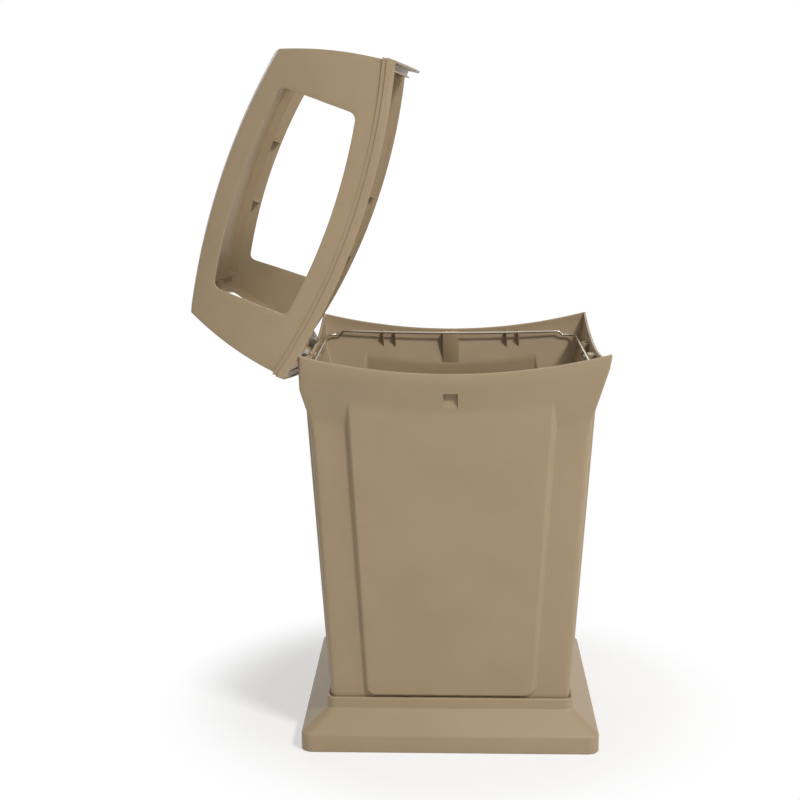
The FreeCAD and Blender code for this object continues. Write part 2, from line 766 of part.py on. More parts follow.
# The band round the lip: a skirt with a step outside, a ledge inside and a flange below the ledge.
FLANGE_IN = "(flange_half - flange_thick)"
quarter_raised = common("quarter_raised", [
    front_slab("band_slab", "hood_half", FLANGE_IN),
    lip_rod("lip_arc", "0"),
])
quarter_block = cut("quarter_block", quarter_raised, lip_rod("band_arc", "band_height"))
channel = cut("channel", front_slab("channel_slab", "hood_half - skirt_wall", "flange_half"), ledge_arc)
step = common("step", [
    front_slab("step_slab", "hood_half + overrun", "band_step_half"),
    lip_rod("step_arc", "band_step"),
])
below_flange = cut(
    "below_flange",
    front_slab("below_flange_slab", "flange_half", f"{FLANGE_IN} - overrun"),
    lip_rod("flange_arc", "flange_lift"),
)
quarter_band = quarter_block
for n, taken in enumerate((channel, step, below_flange)):
    quarter_band = cut(f"quarter_band_{n}", quarter_band, taken)
quarter = fuse("quarter", [quarter_walls, common("quarter_band_mitred", [quarter_band, quarter_wedge])])
hood_ring = fuse("hood_ring", [turned(f"quarter_{n}", quarter, 90 * n) for n in range(4)])

# The ledge and the flange leave out the hinge side, where the body's corners swing through,
# and the flange has gaps over the body's ribs. On the latch side it is short all along.
CHANNEL_MID = "((flange_half + hood_half - skirt_wall) / 2)"
channel_span = (f"-{CHANNEL_MID}", CHANNEL_MID)
gap_levels = (LIP_LOW, f"{SEAT} + rib_step + flange_play")
gap_spans = (
    ("-(post_half + flange_gap)", "post_half + flange_gap"),
    ("rib_near - rib_thick - flange_gap", "rib_far + rib_thick + flange_gap"),
    ("-(rib_far + rib_thick + flange_gap)", "-(rib_near - rib_thick - flange_gap)"),
)
gaps = []
for n, gap_span in enumerate(gap_spans):
    gaps.append(box(f"gap_{n}", gap_span, channel_span, gap_levels))
gaps.append(box("gap_latch", (f"{FLANGE_IN} - overrun", CHANNEL_MID), channel_span, gap_levels))
hinge_span = (f"-{CHANNEL_MID}", "-flange_end")
flange_end_box = box("flange_end_box", hinge_span, channel_span, (LIP_LOW, HOOD_TOP))
flange_stop = cut("flange_stop", flange_end_box, ledge_arc)
hinge_core = box("hinge_core", hinge_span, (f"-{FLANGE_IN}", FLANGE_IN),
                 (LIP_LOW, f"{HOOD_RIM} + band_height"))
hood_banded = cut("hood_banded", hood_ring, fuse("gap_blocks", gaps))
hood_freed = cut("hood_freed", cut("hood_stopped", hood_banded, flange_stop), hinge_core)

# A rib runs round under the dome and leaves a gutter beside the walls, crossed by brackets.
gutter_ring = cut("gutter_ring", square_bar("gutter_bar", "gutter_half"),
                  square_bar("gutter_room", "gutter_half - gutter_thick"))
gutter_under = ball("gutter_under", "dome_radius - gutter_depth", "0", "0", DOME_CENTRE)
gutter = cut("gutter", gutter_ring, gutter_under)
HOOD_SPAN = ("-hood_half", "hood_half")
brackets = []
for n, middle in enumerate(("bracket_place", "-bracket_place")):
    sides = (f"{middle} - bracket_thick / 2", f"{middle} + bracket_thick / 2")
    brackets.append(box(f"bracket_y_{n}", sides, HOOD_SPAN, (HOOD_RIM, HOOD_TOP)))
    brackets.append(box(f"bracket_x_{n}", HOOD_SPAN, sides, (HOOD_RIM, HOOD_TOP)))
bracket_room = fuse("bracket_room", [
    square_bar("bracket_core", "gutter_half - gutter_thick"),
    ball("bracket_under", "dome_radius - bracket_depth", "0", "0", DOME_CENTRE),
])
bracket_webs = cut("bracket_webs", fuse("bracket_bars", brackets), bracket_room)
under_dome = common("under_dome", [fuse("under_dome_ribs", [gutter, bracket_webs]), hood_outside])

# Windows: one opening through each pair of walls, with arced upper and lower edges.
WINDOW_RADIUS = "((window_half ^ 2 + window_sag ^ 2) / (2 * window_sag))"


WINDOW_FOOT = f"{HOOD_RIM} + window_foot + {WINDOW_RADIUS}"
WINDOW_HEAD = f"{HOOD_RIM} + window_top - {WINDOW_RADIUS}"
window_blank = common("window_blank", [
    box("window_block", ("-window_half", "window_half"), (HOOD_START, "hood_half + overrun"),
        (HOOD_RIM, HOOD_TOP)),
    rod("window_foot_arc", "y", WINDOW_RADIUS, HOOD_REACH, "0", HOOD_START, WINDOW_FOOT),
    rod("window_head_arc", "y", WINDOW_RADIUS, HOOD_REACH, "0", HOOD_START, WINDOW_HEAD),
])
window_y = rounded_edges("window_y", window_blank, "window_corner", along((0, 1, 0)))
windows = [window_y, turned("window_x", window_y, 90)]

# Pads inside the left wall carry the hood's hinge leaves.
PAD_FACE = "(hinge_x + leaf_thick + leaf_clear)"
PAD_TOP = "(hinge_z + leaf_rise)"
SCREW_LEVEL = "(hinge_z + screw_rise)"
LEAF_FOOT = "(hinge_z + knuckle_radius + leaf_clear)"
pads = common("pads", [
    fuse("pad_blocks", [
        box(f"pad_{side}", ("-hood_half", f"-{PAD_FACE}"), (f"{y} - pad_half", f"{y} + pad_half"),
            (LEAF_FOOT, f"{PAD_TOP} + leaf_clear"))
        for side, y in HINGES.items()
    ]),
    hood_outside,
])
relief = box(
    "relief",
    (HOOD_START, f"-{PAD_FACE}"),
    ("-relief_half", "relief_half"),
    (LIP_LOW, f"{HOOD_RIM} - hinge_relief"),
)
screw_holes = fuse("screw_holes", [
    rod(f"screw_hole_{spot}", "x", HOLE, "screw_grip + hole_fit", f"-({PAD_FACE} + screw_grip + hole_fit)",
        y, SCREW_LEVEL)
    for spot, y in RIVETS.items()
])
hood_whole = fuse("hood_whole", [hood_freed, under_dome])
hood_windowed = cut("hood_windowed_x", cut("hood_windowed_y", hood_whole, windows[0]), windows[1])
hood_opened = cut("hood_opened", hood_windowed, relief)
hood_padded = fuse("hood_padded", [hood_opened, pads])
hood_closed = cut("hood_closed", hood_padded, screw_holes)


def opened(name, pieces):
    """A sub-part of the hood, turned about the hinges from closed to open."""
    made = doc.addObject("Part::Compound", f"{name}_open")
    made.Links = pieces
    turn(made, (0, -1, 0), 1)
    bind(made, "Placement.Rotation.Angle", "open_angle")
    swing = "open_angle * 1deg"
    bind(made, "Placement.Base.x", f"-hinge_x + hinge_x * cos({swing}) + hinge_z * sin({swing})")
    bind(made, "Placement.Base.z", f"hinge_z + hinge_x * sin({swing}) - hinge_z * cos({swing})")
    return node(made, name)


opened("hood_shell", [hood_closed])

# Hinges: each has a leaf on the body's wall, a leaf on the hood's pad and a headed pin.
LEAF_FACE = "(hinge_wall_half + leaf_thick)"
PAD_LEAF = f"({PAD_FACE} - leaf_thick)"
for side, y in HINGES.items():
    leaf_span = (f"{y} - leaf_half", f"{y} + leaf_half")
    tongue_span = (f"{y} - leaf_tongue_half", f"{y} + leaf_tongue_half")
    pin_start = f"{y} - leaf_half - leaf_play"
    pin_end = f"{y} + leaf_half + leaf_play"
    pin_bore = rod(f"pin_bore_{side}", "y", "pin_radius + pin_fit", "2 * (leaf_half + overrun)",
                   "-hinge_x", f"{y} - leaf_half - overrun", "hinge_z")

    tongue_room = box(
        f"tongue_room_{side}",
        ("-(hinge_x + knuckle_radius + overrun)", "-(hinge_x - knuckle_radius - overrun)"),
        (f"{tongue_span[0]} - leaf_play", f"{tongue_span[1]} + leaf_play"),
        ("hinge_z - knuckle_radius - leaf_clear", "hinge_z + knuckle_radius + overrun"),
    )
    leaf_holes = [
        rod(f"leaf_rivet_hole_{spot}", "x", HOLE, "leaf_thick + 2 * overrun", f"-({LEAF_FACE} + overrun)",
            RIVETS[spot], RIVET_LEVEL)
        for spot in (f"{side}_0", f"{side}_1")
    ]
    body_blank = fuse(f"body_leaf_blank_{side}", [
        box(f"body_plate_{side}", (f"-{LEAF_FACE}", "-hinge_wall_half"), leaf_span,
            ("hinge_z - leaf_drop", "hinge_z")),
        rod(f"body_barrel_{side}", "y", "knuckle_radius", "2 * leaf_half", "-hinge_x", leaf_span[0],
            "hinge_z"),
    ])
    body_leaf_cuts = fuse(f"body_leaf_cuts_{side}", [pin_bore, tongue_room, *leaf_holes])
    node(cut(f"body_leaf_{side}", body_blank, body_leaf_cuts), f"hinge_leaf_body_{side}")

    pad_holes = [
        rod(f"leaf_screw_hole_{spot}", "x", HOLE, "leaf_thick + 2 * overrun", f"-({PAD_FACE} + overrun)",
            RIVETS[spot], SCREW_LEVEL)
        for spot in (f"{side}_0", f"{side}_1")
    ]
    hood_blank = fuse(f"hood_leaf_blank_{side}", [
        box(f"hood_plate_{side}", (f"-{PAD_FACE}", f"-{PAD_LEAF}"), leaf_span, (LEAF_FOOT, PAD_TOP)),
        box(f"tongue_{side}", (f"-{PAD_FACE}", f"-{PAD_LEAF}"), tongue_span, ("hinge_z", PAD_TOP)),
        rod(f"knuckle_{side}", "y", "knuckle_radius", "2 * leaf_tongue_half", "-hinge_x", tongue_span[0],
            "hinge_z"),
    ])
    hood_leaf_cuts = fuse(f"hood_leaf_cuts_{side}", [pin_bore, *pad_holes])
    opened(f"hinge_leaf_hood_{side}", [cut(f"hood_leaf_{side}", hood_blank, hood_leaf_cuts)])

    node(fuse(f"pin_{side}", [
        rod(f"pin_shaft_{side}", "y", "pin_radius", "2 * (leaf_half + leaf_play)", "-hinge_x", pin_start,
            "hinge_z"),
        rod(f"pin_head_{side}", "y", "pin_head", "pin_head_thick", "-hinge_x",
            f"{pin_start} - pin_head_thick", "hinge_z"),
        rod(f"pin_tail_{side}", "y", "pin_head", "pin_head_thick", "-hinge_x", pin_end, "hinge_z"),
    ]), f"hinge_pin_{side}")

# Rivets clamp the first leaf to the body's wall, and screws hold the second on its pad.
RIVET_START = f"-({LEAF_FACE} + rivet_head_thick)"
rivets, screws = [], []
for spot, y in RIVETS.items():
    rivets.append(fuse(f"rivet_{spot}", [
        rod(f"rivet_shank_{spot}", "x", "rivet_radius", "leaf_thick + body_wall + 2 * rivet_head_thick",
            RIVET_START, y, RIVET_LEVEL),
        rod(f"rivet_head_{spot}", "x", "rivet_head", "rivet_head_thick", RIVET_START, y, RIVET_LEVEL),
        rod(f"rivet_tail_{spot}", "x", "rivet_head", "rivet_head_thick", "-(hinge_wall_half - body_wall)", y,
            RIVET_LEVEL),
    ]))
    screws.append(fuse(f"screw_{spot}", [
        rod(f"screw_shank_{spot}", "x", "rivet_radius", "screw_grip + leaf_thick + rivet_head_thick",
            f"-({PAD_FACE} + screw_grip)", y, SCREW_LEVEL),
        rod(f"screw_head_{spot}", "x", "rivet_head", "rivet_head_thick", f"-{PAD_LEAF}", y, SCREW_LEVEL),
    ]))
group("hinge_rivets", rivets)
opened("hinge_screws", screws)

doc.recompute()
for made in doc.Objects:
    if "Invalid" in made.State or "Error" in made.State:
        raise RuntimeError(f"{made.Name} failed: {made.State}")
for made in nodes:
    if made.Shape.isNull() or not made.Shape.isValid():
        raise RuntimeError(f"{made.Label} has no valid shape")
for made in nodes:
    made.Shape.exportStep(f"parts/{made.Label}.step")
    print(made.Label, len(made.Shape.Solids), round(made.Shape.Volume))
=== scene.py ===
import math

import bmesh
import bpy
from mathutils import Matrix, Vector


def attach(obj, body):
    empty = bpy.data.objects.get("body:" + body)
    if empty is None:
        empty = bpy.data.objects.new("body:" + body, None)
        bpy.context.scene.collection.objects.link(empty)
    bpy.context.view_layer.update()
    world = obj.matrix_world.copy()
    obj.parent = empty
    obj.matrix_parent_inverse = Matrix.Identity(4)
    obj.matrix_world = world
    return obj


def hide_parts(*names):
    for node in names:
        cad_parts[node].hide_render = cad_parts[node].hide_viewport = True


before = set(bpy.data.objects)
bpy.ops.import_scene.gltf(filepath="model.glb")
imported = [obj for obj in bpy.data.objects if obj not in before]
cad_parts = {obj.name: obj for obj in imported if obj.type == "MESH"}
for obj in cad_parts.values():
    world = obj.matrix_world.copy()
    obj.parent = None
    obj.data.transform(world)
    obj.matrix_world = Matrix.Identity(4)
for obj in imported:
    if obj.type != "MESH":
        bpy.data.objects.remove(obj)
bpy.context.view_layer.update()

# The pedestal is a wide square tray moulded in tan polyethylene, with a sloped shoulder and a
# raised lip round the foot of the body. Four hollow bosses under it take the bolt heads.
MM = 0.001
BASE_HALF, BASE_BAND, BASE_CORNER = 299.5, 36.5, 24.0
LIP_HALF, SHOULDER, LIP_TOP, LIP_CORNER = 250.0, 75.0, 98.0, 18.0
BASE_WALL, MOUTH_HALF, MOUTH_CORNER = 5.0, 242.99, 12.0
BOSS_RADIUS, BOSS_TOP, BOLT_PLACE = 26.0, 20.0, 165.0
TAN, DEEPER_TAN = "A18C6E", "9D896B"
CLOUDS_PER_METRE, GRAIN, GRAIN_DEPTH = 9.0, 1.2, 0.2


def linear(code):
    """The linear colour of an sRGB hex value."""
    parts = [int(code[n:n + 2], 16) / 255 for n in (0, 2, 4)]
    return [c / 12.92 if c <= 0.04045 else ((c + 0.055) / 1.055) ** 2.4 for c in parts] + [1.0]


def add(tree, kind, settings=None, **links):
    """A node with its settings and input values, where a link is given as (node, output)."""
    node = tree.nodes.new(kind)
    for name, value in (settings or {}).items():
        setattr(node, name, value)
    for name, value in links.items():
        key = name.replace("_", " ")
        socket = next(s for s in node.inputs if s.name == key and s.enabled)
        if isinstance(value, tuple) and isinstance(value[0], bpy.types.Node):
            tree.links.new(value[0].outputs[value[1]], socket)
        else:
            socket.default_value = value
    return node


def moulded_polyethylene(name, colour, deeper):
    """Satin moulded polyethylene: soft wide highlights, faint clouds of tone about 110 mm across
    and a fine mould grain. The real grain is about 0.3 mm across, drawn at 1.2 mm to show."""
    material = bpy.data.materials.new(name)
    material.use_nodes = True
    tree = material.node_tree
    shader = tree.nodes["Principled BSDF"]
    place = add(tree, "ShaderNodeTexCoord")
    cloud = add(tree, "ShaderNodeTexNoise", Vector=(place, "Object"), Scale=CLOUDS_PER_METRE,
                Detail=3.0)
    tone = add(tree, "ShaderNodeValToRGB", Fac=(cloud, "Fac"))
    tone.color_ramp.elements[0].position = 0.35
    tone.color_ramp.elements[1].position = 0.65
    tone.color_ramp.elements[0].color = linear(deeper)
    tone.color_ramp.elements[1].color = linear(colour)
    grain = add(tree, "ShaderNodeTexNoise", Vector=(place, "Object"), Scale=1 / (GRAIN * MM),
                Detail=2.0)
    sheen = add(tree, "ShaderNodeMapRange", Value=(grain, "Fac"), To_Min=0.40, To_Max=0.50)
    bump = add(tree, "ShaderNodeBump", Height=(grain, "Fac"), Strength=0.05,
               Distance=GRAIN_DEPTH * MM)
    tree.links.new(tone.outputs["Color"], shader.inputs["Base Color"])
    tree.links.new(sheen.outputs["Result"], shader.inputs["Roughness"])
    tree.links.new(bump.outputs["Normal"], shader.inputs["Normal"])
    shader.inputs["IOR"].default_value = 1.5
    return material


def piece(name, points, faces, material):
    """A new object from points in millimetres."""
    mesh = bpy.data.meshes.new(name)
    mesh.from_pydata([[c * MM for c in point] for point in points], [], faces)
    mesh.materials.append(material)
    made = bpy.data.objects.new(name, mesh)
    bpy.context.scene.collection.objects.link(made)
    return made


def bevel(made, width, angle, segments):
    """Round the edges sharper than an angle in degrees, by a width in millimetres."""
    rounding = made.modifiers.new("rounding", "BEVEL")
    rounding.width = width * MM
    rounding.segments = segments
    rounding.limit_method = "ANGLE"
    rounding.angle_limit = math.radians(angle)
    rounding.harden_normals = False


def settle(made, sharp=40):
    """Apply the modifiers, and shade smooth but for edges sharper than an angle."""
    bpy.context.view_layer.update()
    seen = made.evaluated_get(bpy.context.evaluated_depsgraph_get())
    mesh = bpy.data.meshes.new_from_object(seen)
    made.modifiers.clear()
    made.data = mesh
    mesh.shade_smooth()
    mesh.set_sharp_from_angle(angle=math.radians(sharp))


def square_loop(half, corner, level, steps=8):
    """Points round a square with round corners."""
    points = []
    for side in range(4):
        for step in range(steps + 1):
            angle = math.radians(90 * side + 90 * step / steps)
            sign = [(1, 1), (-1, 1), (-1, -1), (1, -1)][side]
            points.append((
                sign[0] * (half - corner) + corner * math.cos(angle),
                sign[1] * (half - corner) + corner * math.sin(angle),
                level,
            ))
    return points


def lofted(name, loops, material):
    """A closed solid through loops with the same number of points, capped at both ends."""
    count = len(loops[0])
    points = [point for loop in loops for point in loop]
    faces = [list(range(count))[::-1], [len(points) - count + n for n in range(count)]]
    for row in range(len(loops) - 1):
        for n in range(count):
            a, b = row * count + n, row * count + (n + 1) % count
            faces.append([a, b, b + count, a + count])
    return piece(name, points, faces, material)


tan_base = moulded_polyethylene("moulded polyethylene, base", TAN, DEEPER_TAN)
base_slope = (SHOULDER - BASE_BAND) / (BASE_HALF - LIP_HALF)
inner_bend = BASE_BAND + BASE_WALL * base_slope - BASE_WALL * math.hypot(1, base_slope)
inner_rise = inner_bend + (BASE_HALF - BASE_WALL - MOUTH_HALF) * base_slope
base = lofted("pedestal", [
    square_loop(BASE_HALF, BASE_CORNER, 0),
    square_loop(BASE_HALF, BASE_CORNER, BASE_BAND),
    square_loop(LIP_HALF, LIP_CORNER, SHOULDER),
    square_loop(LIP_HALF, LIP_CORNER, LIP_TOP),
    square_loop(MOUTH_HALF, MOUTH_CORNER, LIP_TOP),
    square_loop(MOUTH_HALF, MOUTH_CORNER, inner_rise),
    square_loop(BASE_HALF - BASE_WALL, BASE_CORNER - BASE_WALL, inner_bend),
    square_loop(BASE_HALF - BASE_WALL, BASE_CORNER - BASE_WALL, BASE_WALL),
], tan_base)
for radius, low, high, way in (
    (BOSS_RADIUS, BASE_WALL / 2, BOSS_TOP, "UNION"),
    (BOSS_RADIUS - BASE_WALL, -BASE_WALL, BOSS_TOP - BASE_WALL, "DIFFERENCE"),
):
    tools = bmesh.new()
    for x in (-BOLT_PLACE, BOLT_PLACE):
        for y in (-BOLT_PLACE, BOLT_PLACE):
            place = Matrix.Translation(Vector((x, y, (low + high) / 2)) * MM)
            bmesh.ops.create_cone(tools, cap_ends=True, segments=48, radius1=radius * MM,
                                  radius2=radius * MM, depth=(high - low) * MM, matrix=place)
    cutter_mesh = bpy.data.meshes.new("boss tools")
    tools.to_mesh(cutter_mesh)
    tools.free()
    cutter = bpy.data.objects.new("boss tools", cutter_mesh)
    bpy.context.scene.collection.objects.link(cutter)
    join = base.modifiers.new("bosses", "BOOLEAN")
    join.operation = way
    join.object = cutter
    join.solver = "EXACT"
    settle(base)
    bpy.data.objects.remove(cutter)
bevel(base, width=3.0, angle=24, segments=4)
settle(base)
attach(base, "base")
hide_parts("base_skirt")

# Four M8 bolts come up through the bosses and the body's floor, each with a washer and a nut.
# They are zinc plated steel: bright grey, a little blue, and slightly rough.


def plated_steel(name, colour, roughness):
    """Plated or plain steel: a metal with faint blotches about 2 mm across."""
    material = bpy.data.materials.new(name)
    material.use_nodes = True
    tree = material.node_tree
    shader = tree.nodes["Principled BSDF"]
    shader.inputs["Metallic"].default_value = 1.0
    place = add(tree, "ShaderNodeTexCoord")
    streak = add(tree, "ShaderNodeTexNoise", Vector=(place, "Object"), Scale=1 / (2.0 * MM), Detail=3.0)
    tone = add(tree, "ShaderNodeValToRGB", Fac=(streak, "Fac"))
    tone.color_ramp.elements[0].color = [0.8 * c for c in linear(colour)[:3]] + [1.0]
    tone.color_ramp.elements[1].color = linear(colour)
    rough = add(tree, "ShaderNodeMapRange", Value=(streak, "Fac"),
                To_Min=roughness - 0.06, To_Max=roughness + 0.06)
    tree.links.new(tone.outputs["Color"], shader.inputs["Base Color"])
    tree.links.new(rough.outputs["Result"], shader.inputs["Roughness"])
    return material


def dress(names, material):
    """Give the frame's own small pieces their material."""
    for name in names:
        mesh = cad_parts[name].data
        mesh.materials.clear()
        mesh.materials.append(material)


zinc = plated_steel("zinc plated steel", "B9BCBF", 0.34)
dress(["base_bolts", "base_washers", "base_nuts"], zinc)

# The body is one tapered moulding, 5 mm thick, that flares out to a rim which sags on each side.
# Each side has a raised panel with bevelled edges, and a small pocket under the rim.
FOOT, FLOOR, WALL = 20.0, 26.0, 5.0
FOOT_HALF, TAPER = 237.6, 0.0563
SHAFT_CORNER, RIM_CORNER = 12.0, 5.0
RIM_HALF, RIM_MID, RIM_SAG, RIM_LIP = 307.3, 773.0, 39.0, 15.0
FLARE_SLOPE = 0.3065
HINGE_WALL = 291.6
PANEL_FOOT, PANEL_TOP, PANEL_HALF, PANEL_SPREAD = 103.0, 743.0, 166.0, 0.0525
PANEL_PROUD, PANEL_LEAN, PANEL_CORNER = 8.3, 0.0633, 15.0
PANEL_SIDE_SLOPE, PANEL_FOOT_SLOPE = 15 / 12, 15 / 4
POCKET_HALF, POCKET_FOOT, POCKET_TOP, POCKET_BACK, POCKET_BACKING = 14.0, 704.0, 733.0, 289.6, 4.0
POCKET_LEAN = 3.6
NOTCH_NEAR, NOTCH_FAR, NOTCH_LEVEL = 68.0, 122.0, 770.3
RIM_RADIUS = (RIM_HALF ** 2 + RIM_SAG ** 2) / (2 * RIM_SAG)
RIM_CENTRE = RIM_MID + RIM_RADIUS
HINGE_SIDE, RIM_START = 3, 741.0
SHARP_STEP, FLARE_FOOT, PANEL_OVERRUN = 0.4, 600.0, 20.0
CREASE, BEVEL_CREASE, POCKET_SKIN = 1.6, 3.0, 0.5
CORNER_FADE_START, CORNER_FADE_RUN = 640.0, 60.0
EDGE_LEAD, EDGE_STEP, EDGE_COUNT = 17.0, 1.6, 20
BETWEEN = [0, 7, 30, 50, 82, 95, 108, 134]
CORNER_PARTS = 6


def soft_max(a, b, blend):
    """The larger of two, with the crease between them rounded."""
    near = max(0.0, 1.0 - abs(a - b) / blend)
    return max(a, b) + near * near * blend / 4


def wall_face(side, across, level, inset):
    """How far a wall's face stands from the middle, drawn in by the inset."""
    shaft = FOOT_HALF + TAPER * (level - FOOT) - inset
    edge = PANEL_HALF - inset + PANEL_SPREAD * (level - PANEL_FOOT)
    side_past = max(abs(across) - edge + PANEL_CORNER, 0.0)
    foot_past = max(PANEL_FOOT + inset + PANEL_CORNER - level, 0.0)
    past = math.hypot(side_past, foot_past) - PANEL_CORNER
    down = foot_past ** 2 / max(side_past ** 2 + foot_past ** 2, 1e-6)
    slope = PANEL_SIDE_SLOPE + (PANEL_FOOT_SLOPE - PANEL_SIDE_SLOPE) * down
    base_half = FOOT_HALF + TAPER * (PANEL_FOOT - FOOT) + PANEL_PROUD - inset
    panel = base_half + PANEL_LEAN * (level - PANEL_FOOT) - slope * soft_max(past, 0.0, BEVEL_CREASE)
    radius = math.hypot(across, RIM_CENTRE - level)
    flare = RIM_HALF - inset - FLARE_SLOPE * max(radius - RIM_RADIUS - RIM_LIP, 0.0)
    face = soft_max(shaft, panel, CREASE) if level < PANEL_TOP + PANEL_OVERRUN else shaft
    if level > FLARE_FOOT:
        face = soft_max(face, flare, CREASE)
    if side == HINGE_SIDE:
        face = min(face, HINGE_WALL - inset)
    spare = POCKET_BACKING if inset else 0.0
    beside = abs(across) < POCKET_HALF + spare
    if beside and POCKET_FOOT - spare < level < POCKET_TOP + spare:
        deep = POCKET_LEAN * (level - POCKET_FOOT) / (POCKET_TOP - POCKET_FOOT)
        face = min(face, POCKET_BACK - deep - (POCKET_SKIN if inset else 0.0))
    return face


def rim_level(side, across, out):
    """The rim's level, an arc that sags in the middle, with two hinge notches on one side."""
    top = RIM_CENTRE - math.sqrt(RIM_RADIUS ** 2 - min(abs(across), out) ** 2)
    if side == HINGE_SIDE and NOTCH_NEAR < abs(across) < NOTCH_FAR:
        return min(top, NOTCH_LEVEL)
    return top


def wall_point(side, across, row):
    """A point of a row, as its distance out and its level. A row lies at a level, at a share of
    the way from the start of the rim to its top, or at a drop below that top."""
    kind, value, inset = row
    out = RIM_HALF - inset
    level = value
    for _ in range(4 if kind != "level" else 1):
        if kind == "share":
            top = rim_level(side, across, out)
            level = RIM_START + (top - RIM_START) * value
        elif kind == "drop":
            level = rim_level(side, across, out) - value
        out = wall_face(side, across, level, inset)
    return out, level


def row_columns(row, start, end):
    """The places along a side, from one corner to the other, that follow the panel's edges."""
    level = row[1] if row[0] == "level" else PANEL_TOP
    edge = PANEL_HALF - row[2] + PANEL_SPREAD * (max(level, PANEL_FOOT) - PANEL_FOOT)
    backing = POCKET_HALF + POCKET_BACKING
    breaks = [POCKET_HALF, backing, NOTCH_NEAR, NOTCH_FAR]
    inner = [b + step for b in breaks for step in (-SHARP_STEP, SHARP_STEP)]
    inner = sorted(inner + BETWEEN)
    edges = [edge - EDGE_LEAD + EDGE_STEP * n for n in range(EDGE_COUNT)]
    half = inner + edges
    columns = []
    for sign, reach in ((-1, start), (1, end)):
        out = [edges[-1] + (reach - edges[-1]) * share for share in (0.25, 0.5, 0.75, 1.0)]
        columns.append([sign * u for u in (half + out)[(1 if sign < 0 else 0):]])
    return columns[0][::-1] + columns[1]


def body_row(row):
    """The closed loop of points of one row, with its four corners rounded."""
    corners = []
    for side in range(4):
        after = (side + 1) % 4
        out_side, out_after = RIM_HALF, RIM_HALF
        for _ in range(5):
            out_side, _level = wall_point(side, out_after, row)
            out_after, _level = wall_point(after, out_side, row)
        corners.append((out_side, out_after))
    level = row[1] if row[0] == "level" else PANEL_TOP
    fade = min(max((level - CORNER_FADE_START) / CORNER_FADE_RUN, 0.0), 1.0)
    corner = SHAFT_CORNER + (RIM_CORNER - SHAFT_CORNER) * fade - row[2] / 2
    loop = []
    for side in range(4):
        spin = Matrix.Rotation(math.radians(90 * side), 3, "Z")
        start = corners[side - 1][0] - corner
        end = corners[side][1] - corner
        for across in row_columns(row, start, end):
            out, z = wall_point(side, across, row)
            loop.append(spin @ Vector((across, -out, z)))
        out_side, out_after = corners[side]
        z_near = wall_point(side, end, row)[1]
        z_corner = wall_point(side, out_after, row)[1]
        for n in range(1, CORNER_PARTS):
            angle = math.radians(90 * n / CORNER_PARTS)
            x = out_after - corner + corner * math.sin(angle)
            y = -(wall_point(side, end, row)[0] - corner + corner * math.cos(angle))
            far = wall_point((side + 1) % 4, -(out_side - corner), row)[0]
            x += (far - out_after) * n / CORNER_PARTS
            z = z_near + (z_corner - z_near) * (1 - abs(2 * n / CORNER_PARTS - 1))
            loop.append(spin @ Vector((x, y, z)))
    return loop


# Rows of points go up the outside, over the rim and down the inside. They lie close together
# where the wall turns: at the panel's foot, in the flare, at the pocket and at the rim.
outer_levels = [FOOT, FOOT + 2, 60, 90, 98, 99.5]
outer_levels += [100.2 + 0.8 * n for n in range(26)]
outer_levels += [126, 135, 150, 180, 220, 270, 320, 370, 420, 470, 520, 570, 610, 635, 650]
outer_levels += [658 + 4 * n for n in range(11)]
outer_levels += [POCKET_FOOT - SHARP_STEP, POCKET_FOOT + SHARP_STEP, 709, 714, 719, 724, 729]
outer_levels += [POCKET_TOP - SHARP_STEP, POCKET_TOP + SHARP_STEP, 738]
rows = [("level", z, 0.0) for z in outer_levels]
rows += [("share", 0.0, 0.0), ("share", 0.3, 0.0), ("share", 0.6, 0.0), ("drop", 6.0, 0.0)]
rows += [("drop", 2.0, 0.0), ("drop", 1.0, 0.27), ("drop", 0.27, 1.0), ("drop", 0.0, 2.0)]
rows += [("drop", 0.0, 3.0), ("drop", 0.27, 4.0), ("drop", 1.0, 4.73), ("drop", 2.0, WALL)]
rows += [("drop", 6.0, WALL), ("share", 0.6, WALL), ("share", 0.3, WALL), ("share", 0.0, WALL)]
inner_levels = [738, 736.6, 730, 720, 712, 706, 702, 698, 694, 690, 684, 678, 672, 666, 660, 640]
inner_levels += [600, 550, 500, 450, 400, 350, 300, 250, 200, 160, 140, 128, 122, 118, 115, 112]
inner_levels += [110, 109, 108, 107, 106, 105, 104, 103, 102, 90, 60, 40, FLOOR + 8, FLOOR + 3, FLOOR]
rows += [("level", z, WALL) for z in inner_levels]
tan_body = moulded_polyethylene("moulded polyethylene, body", TAN, DEEPER_TAN)
body = lofted("body", [body_row(row) for row in rows], tan_body)
settle(body, sharp=35)
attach(body, "base")
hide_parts("body_shell")

# Thin ribs moulded inside the walls, two near each end of every wall and a broad post in its
# middle, carry the bag ring on their steps. One rib form is repeated along each wall.
RING_HALF, RING_HINGE_HALF, RING_LEVEL, RING_DROP = 283.0, 278.6, 770.0, 8.0
WIRE, SEAT_GAP = 2.5, 0.3
SEAT = RING_LEVEL - WIRE - SEAT_GAP
RIB_PLACES, RIB_THICK, POST_THICK = (127.0, 154.0), 3.0, 36.0
RIB_TIP, RIB_STEP, SEAT_RUN = 3.5, 7.0, 4.0
RIB_HEIGHT, POST_HEIGHT, POST_TOP = 31.0, 74.0, 4.5
RING_BOW, BOW_REACH = 4.5, 243.0
BACK_PARTS, POCKET_MARGIN, POST_SKIN = 12, 2.0, 0.8


